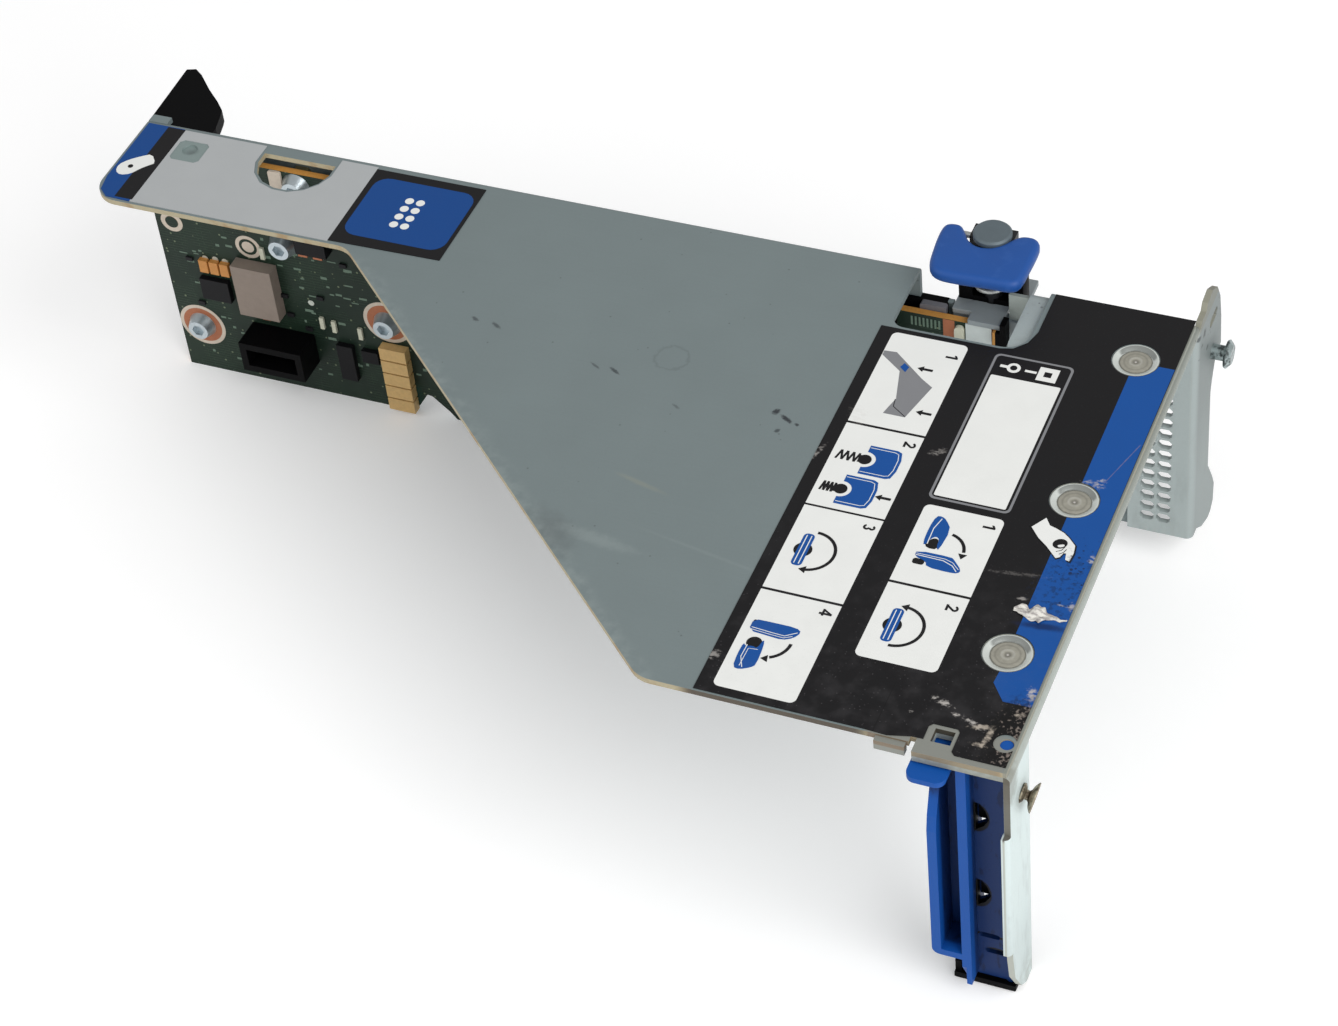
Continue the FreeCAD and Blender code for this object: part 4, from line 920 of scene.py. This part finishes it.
class CAGE_OT_turn_lock(bpy.types.Operator):
    """Finishes of the stud, its head, handle, pin, cap and spring"""

    bl_idname = "cage.turn_lock"
    bl_label = "Turn lock"

    def execute(self, context):
        tone = colours()
        plastic = moulded_finish("handle_plastic", tone.handle_blue, 0.42, worn=(0.20, 0.38, 0.66))
        dress(plastic, "bail_handle")
        plan = smooth([(-52.0, 112.6), (-51.4, 110.5), (-50.4, 109.2), (-48.7, 108.5),
                       (-46.2, 108.4), (-43.3, 108.5), (-40.6, 108.7), (-37.7, 108.8),
                       (-35.8, 108.8), (-33.9, 109.1), (-32.8, 110.2), (-32.5, 112.4),
                       (-32.4, 115.2), (-32.3, 119.3), (-32.4, 121.8), (-32.8, 123.0),
                       (-33.7, 123.9), (-35.0, 124.1), (-36.5, 123.9), (-37.6, 123.1),
                       (-38.5, 122.0), (-39.5, 120.5), (-40.6, 119.4), (-41.9, 118.7),
                       (-43.8, 118.5), (-45.3, 119.1), (-46.7, 120.3), (-47.6, 121.8),
                       (-48.4, 123.1), (-49.2, 123.9), (-50.3, 124.0), (-51.5, 123.8),
                       (-52.4, 123.1), (-52.7, 121.8), (-52.7, 119.2), (-52.4, 116.1)], 1)
        made = piece("handle", [slab(plan, low=6.4, high=9.4, radius=1.3)], plastic, body="bail",
                     smooth_angle=60)
        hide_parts("bail_handle")
        dress(metal_finish("head_steel", tone.head_grey, metal=0.35, rough=0.45), "stud_head")
        bright = metal_finish("spring_steel", (0.72, 0.73, 0.72))
        dress(bright, "lock_spring", "spring_cap", "bail_pin")
        corners = np.array(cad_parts["lock_spring"].bound_box) / MM - DATUM
        low, high = corners.min(0), corners.max(0)
        made = piece("spring_coil", [coil(low, high, wire=0.45, turns=3.0)], bright,
                     smooth_angle=60)
        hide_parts("lock_spring")
        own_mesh(made)
        dress(moulded_finish("yoke_black", (0.07, 0.07, 0.08), 0.4), "lock_stud")
        soften(sizes().edge, "stud_head", "lock_stud")
        return {"FINISHED"}


class CAGE_OT_board(bpy.types.Operator):
    """Finishes of the board and its parts, with plated rings, pads, print marks and solder"""

    bl_idname = "cage.board"
    bl_label = "Board"

    def execute(self, context):
        tone = colours()
        green = board_finish()
        dress(green, "riser_board")
        dress(plain_finish("connector_black", tone.moulding, 0.5, shine=0.07), "card_slots",
              "block_connector")
        dress(plain_finish("chip_black", (0.07, 0.07, 0.08), 0.42, shine=0.15), "board_chips",
              "edge_chip")
        dress(plain_finish("tan_body", (0.82, 0.68, 0.45), 0.4, spread=0.35), "large_capacitors")
        dress(plain_finish("orange_body", (0.76, 0.52, 0.26), 0.4), "tan_capacitors")
        dress(plain_finish("choke_ferrite", (0.54, 0.49, 0.45), 0.55, size=2.0), "choke")
        dress(plain_finish("resistor_black", (0.12, 0.12, 0.13), 0.4, shine=0.15), "chip_resistors")
        dress(plain_finish("pale_parts", (0.80, 0.80, 0.72), 0.45), "status_parts", "edge_clip")
        dress(plain_finish("leg_copper", tone.copper, 0.35, metal=0.4), "edge_chip_legs")
        dress(plain_finish("tinned_plate", tone.tin, 0.35, metal=0.3, size=2.5), "ground_plate")
        dress(metal_finish("screw_zinc", (0.76, 0.80, 0.82), rough=0.25), "board_screws")
        dress(metal_finish("post_brass", (0.62, 0.56, 0.42)), "board_standoffs")

        ring = plain_finish("plated_ring", tone.cream, 0.4, metal=0.2)
        copper = plain_finish("pad_copper", tone.copper, 0.35, metal=0.3)
        solder = plain_finish("solder", (0.80, 0.82, 0.78), 0.3, metal=0.4)
        marks = plain_finish("board_print", (0.40, 0.48, 0.42), 0.6)

        def layer(outlines, level):
            """Print on the board's front."""
            return ink(outlines, level, on_board, base=0.0)

        rings = [(-227.8, -54.1), (-179.5, -41.6)]
        piece("board_rings", layer([disc(x, z, 5.7, steps=40) for x, z in rings], 1)
              + layer([disc(-211.1, -27.4, 3.1), disc(-229.5, -24.5, 2.7)], 1)
              + layer([disc(-211.1, -27.4, 1.5)], 3)
              + layer([block(-201.6, -198.6, -10.0, -3.6, 0.5)], 30), ring)
        piece("board_ring_mask", layer([disc(-229.5, -24.5, 1.6), disc(-211.1, -27.4, 2.2)], 2),
              green)
        piece("board_ring_copper", layer([disc(x, z, 4.8, steps=40) for x, z in rings], 2)
              + layer([block(-50.6, -48.2, -17.0, -8.6), block(-211.4, -209.4, -48.6, -46.6)], 1),
              copper)
        dots = [(-223.0, -33.4), (-220.4, -33.1), (-218.0, -33.2), (-197.9, -40.4), (-214.0, -33.5),
                (-207.0, -35.5)]
        piece("board_solder", layer([disc(x, z, 0.75) for x, z in dots], 2), solder)
        piece("board_pads", layer([block(x, x + 0.4, -11.7, -9.4)
                                   for x in np.linspace(-57.4, -51.6, 8)], 1), marks)
        black = plain_finish("window_black", tone.moulding, 0.6, shine=0.07)
        end = [(-39.3, -12.0), (-37.2, -12.0), (-37.2, -6.2), (-38.3, -6.2), (-38.3, -8.45),
               (-39.3, -8.45)]
        strip = block(-61.0, -50.6, -13.0, -7.35, 0.4)
        piece("window_black", [prism(end, -1.4, 1.4, on_board), prism(strip, -5.1, -3.1, on_board)],
              black)
        piece("window_strip", [prism(block(-39.8, -39.3, -12.0, -8.45), -1.4, 1.42, on_board)],
              plain_finish("strip_orange", tone.board_edge, 0.5))
        wall = block(-37.8, -33.0, -9.0, -1.9)
        piece("window_wall", [prism(wall, -4.1, -3.3, on_board)],
              steel_finish("window_steel", (0.60, 0.63, 0.61)))
        piece("window_block", [prism(block(-56.0, -50.5, -9.6, -7.2, 0.5), -3.1, -1.7, on_board)],
              plain_finish("window_grey", (0.42, 0.42, 0.44), 0.5))
        rng = np.random.default_rng(4)
        count = sizes().marks
        at = np.column_stack([rng.uniform(-231, -168, count), rng.uniform(-66, -24, count)])
        wide, tall = rng.uniform(0.5, 2.2, count), rng.uniform(0.25, 0.8, count)
        clear = np.ones(count, bool)
        for x, z, radius in [(-227.8, -54.1, 7), (-179.5, -41.6, 7), (-210, -38.5, 9),
                             (-206.5, -54, 9.5), (-211, -27.4, 4)]:
            clear &= np.hypot(at[:, 0] - x, at[:, 1] - z) > radius
        clear &= (at[:, 0] < -180.0) | (at[:, 1] > -58.0)
        piece("board_marks", layer([block(x - w / 2, x + w / 2, z - h / 2, z + h / 2)
                                    for (x, z), w, h in zip(at[clear], wide[clear], tall[clear])], 1),
              marks)
        return {"FINISHED"}


class CAGE_OT_labels(bpy.types.Operator):
    """Finishes of the labels and the fields, pictures and numbers printed on them"""

    bl_idname = "cage.labels"
    bl_label = "Labels"

    def execute(self, context):
        tone = colours()
        black = label_finish("print_black", tone.label_black)
        white = label_finish("print_white", tone.label_white, dust=0.3)
        blue = label_finish("print_blue", tone.label_blue, dust=0.5, arm=0.22)
        grey = label_finish("print_grey", tone.label_grey, dust=0.4)
        panel = label_finish("panel_film", tone.panel_grey, dust=0.3)
        dress(black, "main_label", "press_label")
        dress(blue, "end_label")
        dress(panel, "panel_label")
        self.fields(white, blue, black, grey)
        self.pictures(white, blue, black, grey)
        return {"FINISHED"}

    def fields(self, white, blue, black, grey):
        """White cells, the framed box, the blue band, and the fields on the arm."""
        r = 1.2
        cells = [block(-55.2, -39.7, 72.9, 99.3, (0, 0, r, r)), block(-55.2, -39.7, 49.6, 72.3),
                 block(-55.2, -39.7, 27.0, 49.1), block(-55.2, -39.7, 1.8, 26.4, (r, r, 0, 0)),
                 block(-33.8, -18.4, 35.4, 55.8, (0, 0, r, r)),
                 block(-33.8, -18.4, 16.0, 34.8, (r, r, 0, 0))]
        boxes = ink([block(-33.2, -19.3, 58.4, 92.9, 0.3)], 3)
        icons = [block(-24.7, -20.8, 93.8, 97.6), block(-27.3, -25.0, 95.4, 96.0),
                 disc(-29.6, 95.8, 1.35), stroke([(-32.3, 95.8), (-30.4, 95.8)], 0.7)]
        piece("print_cells", ink(cells, 1) + boxes + ink(icons, 3), white)
        piece("print_frame", ink([block(-34.1, -18.3, 57.5, 99.1, 1.2)], 1), grey)
        piece("print_header", ink([block(-33.6, -18.8, 58.0, 98.6, 0.9)], 2)
              + ink([disc(-29.6, 95.8, 0.7), block(-23.5, -22.0, 95.0, 96.4)], 4), black)
        piece("print_band", ink([self.band()], 1), blue)
        piece("arm_band", ink([block(-226.5, -222.3, 93.7, 118.0)], 1), black)
        piece("press_field", ink([block(-174.7, -151.7, 96.3, 115.2, 3.2)], 1), blue)
        dots = [disc(x, y, 0.95) for x in (-164.9, -162.4) for y in (109.5, 106.9, 104.3, 101.7)]
        piece("press_dots", ink(dots, 2), white)

    def band(self):
        """The blue band: a strip along the card end, notched round the clinch joints."""
        reach = 4.75
        left, right, top = -8.2, -0.12, 104.0
        (x1, y1), (x2, y2), (x3, y3) = CLINCHES
        edge = math.degrees(math.asin((top - y3) / reach))
        parts = [np.array([(right, top)])]
        for x, y, start in ((x3, y3, edge), (x2, y2, 90), (x1, y1, 90)):
            parts.append(around(x, y, reach, np.radians(np.linspace(start, -90, 20))))
        parts.append(np.array([(left, 17.0), (-5.3, 13.2), (right, 13.3)]))
        return np.vstack(parts)

    def pictures(self, white, blue, black, grey):
        """The steps: the cage, the pressed lock, the turned handle and the folded handle."""
        line, coil = sizes().line / MM, sizes().coil / MM
        greys = [smooth([(-55.1, 93.6), (-52.6, 93.8), (-45.5, 87.9), (-42.8, 86.1), (-45.1, 76.7),
                         (-49.5, 76.7), (-48.9, 79.3), (-48.4, 81.1), (-50.3, 88.8),
                         (-55.1, 92.4)], 0)]
        blues, lights = [[(-50.1, 91.2), (-48.9, 90.3), (-49.2, 88.8), (-50.6, 89.9)]], []
        blacks = [stroke([(-48.5, 81.0), (-48.2, 79.0), (-45.2, 76.9)], 0.16)]
        for x, y in ((-44.2, 90.6), (-40.5, 78.8), (-40.3, 54.8)):
            blacks += [stroke([(x, y), (x - 2.0, y)], line), arrow_head(x - 1.9, y, 180, 1.2)]
        for x, y in ((-48.6, 63.6), (-50.3, 54.9)):
            a = np.radians(np.linspace(-90, 90, 13))
            notch = np.column_stack([x + 2.2 * np.cos(a), y + 2.1 * np.sin(a)])
            half = np.array([(0, 3.9), (5.4, 3.9), (6.3, 3.5), (6.8, 1.5)])
            body = np.vstack([half, half[::-1] * (1, -1)])
            blues.append(np.vstack([body + (x, y), notch]))
            half = np.array([(0.2, 3.3), (5.0, 3.3), (5.8, 3.0), (6.2, 1.4)])
            shine = np.vstack([half, half[::-1] * (1, -1)])
            lights.append(stroke(shine + (x, y), 0.14))
            blacks += [disc(x + 0.1, y, 1.3), block(x - 1.2, x + 0.3, y - 0.95, y + 0.95)]
        side = np.array([-1.25, 1.25] * 4)
        for high, y in ((-49.8, 63.7), (-51.4, 54.9)):
            zigzag = np.column_stack([np.linspace(-54.0, high, len(side)), y + side])
            blacks += [stroke(zigzag[k:k + 2], coil) for k in range(len(side) - 1)]
        sweep = 4.85
        for x, y, cx, start, end, tip in ((-51.4, 37.9, -50.2, 90, -78, 184),
                                          (-29.6, 24.8, -28.7, -90, 84, 178)):
            blacks.append(disc(x, y, 1.75))
            blues.append(block(x - 1.05, x + 1.05, y - 4.15, y + 4.15, 0.8))
            lights += [block(x + s - 0.09, x + s + 0.09, y - 3.7, y + 3.7) for s in (-0.45, 0.45)]
            blacks.append(arc(cx, y, sweep, line, start, end))
            t = math.radians(end)
            blacks.append(arrow_head(cx + sweep * math.cos(t), y + sweep * math.sin(t), tip, 1.35))
        blues += [smooth([(-53.7, 18.9), (-50.4, 19.0), (-45.6, 19.0), (-44.4, 18.2), (-45.3, 16.5),
                          (-47.1, 15.5), (-49.8, 15.7), (-53.7, 16.0)], 1),
                  smooth([(-52.8, 12.2), (-51.6, 12.6), (-50.6, 12.2), (-50.2, 14.8), (-49.7, 13.2),
                          (-49.4, 8.5), (-50.1, 7.6), (-51.9, 6.6), (-53.2, 6.8), (-53.5, 10.0),
                          (-53.4, 12.9)], 1),
                  smooth([(-30.8, 53.2), (-29.8, 53.4), (-28.8, 52.8), (-27.2, 50.6), (-27.7, 44.8),
                          (-28.3, 45.6), (-28.4, 47.6), (-29.2, 48.2), (-30.0, 47.4), (-30.3, 45.8),
                          (-31.0, 45.6), (-31.2, 50.0)], 1),
                  smooth([(-31.4, 43.8), (-24.8, 43.9), (-24.1, 43.3), (-22.2, 41.3), (-22.5, 40.3),
                          (-24.3, 40.1), (-28.5, 40.3), (-29.0, 41.6), (-31.4, 42.3)], 1)]
        blacks += [block(-53.6, -51.6, 17.5, 18.8, 0.3), disc(-51.6, 13.4, 1.45),
                   smooth([(-28.4, 47.4), (-28.0, 45.0), (-30.0, 44.9), (-30.7, 46.0), (-29.9, 47.2),
                           (-29.2, 47.7)], 1),
                   block(-31.4, -29.2, 40.5, 41.9, 0.5)]
        lights += [stroke([(-53.4, 16.9), (-49.5, 16.6), (-47.0, 16.5), (-45.0, 17.9)], 0.15),
                   stroke([(-53.4, 16.4), (-49.5, 16.1), (-47.0, 16.0), (-45.6, 16.8)], 0.12),
                   stroke([(-52.6, 12.6), (-52.7, 9.6), (-51.6, 7.2)], 0.15),
                   stroke([(-50.4, 12.0), (-52.1, 11.8), (-52.2, 7.4)], 0.12),
                   stroke([(-30.2, 45.9), (-30.3, 50.0), (-29.6, 52.8)], 0.17),
                   stroke([(-31.3, 42.7), (-26.0, 42.6), (-24.0, 41.8), (-22.9, 40.6)], 0.17),
                   stroke([(-31.3, 43.1), (-25.8, 43.1), (-24.2, 42.6), (-22.7, 41.2)], 0.12)]
        blacks += [arc(-49.8, 15.0, 4.6, line, 0, -64), arrow_head(-48.0, 10.5, 192, 1.3),
                   arc(-27.5, 45.2, 4.37, line, 77, 6), arrow_head(-23.15, 45.2, -90, 1.3)]
        for name, shapes, level, finish in (("print_shapes", greys, 2, grey),
                                            ("print_blues", blues, 4, blue),
                                            ("print_lines", blacks, 3, black),
                                            ("print_lights", lights, 5, white)):
            piece(name, ink(shapes, level), finish)
        self.hands(white, black)
        steps = [("1", -41.9, 95.3), ("2", -41.7, 69.7), ("3", -41.7, 46.8), ("4", -41.9, 24.1),
                 ("1", -20.7, 53.2), ("2", -20.7, 31.8)]
        piece("print_numbers", ink([shape for step in steps for shape in digit(*step)], 3), black)

    def hands(self, white, black):
        """The pinching hands on the blue band and on the end label, outlined in black."""
        hand = np.array([(-13.4, 55.6), (-11.5, 58.6), (-10.3, 56.9), (-9.0, 56.5), (-7.3, 55.8),
                         (-6.0, 54.8), (-4.4, 53.2), (-4.1, 51.3), (-4.3, 49.1), (-5.1, 49.3),
                         (-5.4, 50.9), (-5.9, 50.8), (-6.2, 49.7), (-6.9, 49.2), (-9.3, 51.6),
                         (-11.4, 53.3)])
        far_hand = np.array([(-225.4, 108.6), (-223.3, 106.0), (-224.2, 105.1), (-225.5, 103.6),
                             (-226.8, 101.3), (-228.9, 100.4), (-230.4, 101.3), (-230.8, 103.4),
                             (-229.5, 105.4), (-227.4, 107.2)])
        edge = (hand - (-8.0, 53.3)) * 1.09 + (-8.0, 53.3)
        lines = [stroke([(-6.0, 52.6), (-6.4, 51.4), (-7.3, 50.8)], 0.14),
                 stroke([(-5.6, 51.9), (-5.9, 51.0), (-6.6, 50.3)], 0.14)]
        nail = smooth([(-6.3, 53.0), (-6.2, 52.4), (-7.1, 51.9), (-7.6, 52.4)], 1)
        piece("print_hand_edges", ink([edge], 3), black)
        piece("print_hands", ink([hand, smooth(far_hand, 1)], 4) + ink([nail], 6), white)
        piece("print_thumbs", ink([disc(-7.15, 52.9, 1.4, squeeze=0.86, turn=40),
                                   disc(-228.0, 103.6, 0.6)] + lines, 5), black)


class CAGE_OT_wear(bpy.types.Operator):
    """The torn curl of film at the card end of the main label"""

    bl_idname = "cage.wear"
    bl_label = "Wear"

    def execute(self, context):
        f = Finish("torn_film")
        fibre = f.noise(0.6, 3, stretch=(0.4, 1, 1))
        colour = f.mix(f.ramp(fibre, 0.35, 0.62), (0.60, 0.58, 0.57), (0.86, 0.85, 0.82))
        finish = f.surface(colour, 0.6 + fibre * 0.2, bump=fibre, depth=0.05)
        rows, columns = 60, 22
        u, v = np.meshgrid(np.linspace(0, 1, rows), np.linspace(-1, 1, columns), indexing="ij")
        x = -0.3 - 9.9 * u
        stations = [0, 0.12, 0.2, 0.38, 0.46, 0.62, 0.72, 0.8, 0.9, 1.0]
        half = np.interp(u, stations, [0.2, 0.35, 0.45, 0.9, 2.0, 2.3, 1.1, 1.3, 1.1, 0.5])
        centre = np.interp(u, stations, [34.8, 34.4, 34.8, 34.6, 34.7, 35.0, 34.4, 35.1, 35.3, 34.9])
        rng = np.random.default_rng(3)
        ragged = np.interp(u, np.linspace(0, 1, 18), rng.uniform(0.8, 1.15, 18))
        y = centre + half * v * ragged
        fold = np.abs(np.sin(1.9 * v + 6.5 * u + 0.5)) * 0.75 + np.abs(np.sin(9 * u - v)) * 0.25
        z = LABEL_TOP + 0.06 + (0.2 + half * 0.36) * fold * np.sqrt(1 - v * v * 0.9)
        grid = np.stack([x, y, z], -1).reshape(-1, 3)
        made = piece("torn_film", [(grid, quads(rows, columns, closed=False))], finish)
        made.data.shade_smooth()
        made.modifiers.new("Film", "SOLIDIFY").thickness = context.scene.cage_sizes.film
        return {"FINISHED"}


class CAGE_PT_panel(bpy.types.Panel):
    """Lists the steps and the sizes and colours that drive them"""

    bl_idname = "CAGE_PT_panel"
    bl_label = "Riser cage bracket"
    bl_space_type = "VIEW_3D"
    bl_region_type = "UI"
    bl_category = "Riser cage"

    def draw(self, context):
        for operator in STEPS:
            self.layout.operator(operator.bl_idname)
        for group in (context.scene.cage_sizes, context.scene.cage_colours,
                      context.scene.cage_stage):
            for name in group.__annotations__:
                self.layout.prop(group, name)


STEPS = (CAGE_OT_stage, CAGE_OT_sheet_metal, CAGE_OT_mouldings, CAGE_OT_turn_lock, CAGE_OT_board,
         CAGE_OT_labels, CAGE_OT_wear)
GROUPS = {"cage_colours": CageColours, "cage_sizes": CageSizes, "cage_stage": CageStage}


def register():
    for group in (*GROUPS.values(), *STEPS, CAGE_PT_panel):
        bpy.utils.register_class(group)
    for name, group in GROUPS.items():
        setattr(bpy.types.Scene, name, PointerProperty(type=group))


def unregister():
    for name in GROUPS:
        delattr(bpy.types.Scene, name)
    for group in (CAGE_PT_panel, *reversed(STEPS), *reversed(list(GROUPS.values()))):
        bpy.utils.unregister_class(group)


def main():
    """Registers the classes and runs the steps in order."""
    register()
    for operator in STEPS:
        family, step = operator.bl_idname.split(".")
        getattr(getattr(bpy.ops, family), step)()


if __name__ == "__main__":
    main()
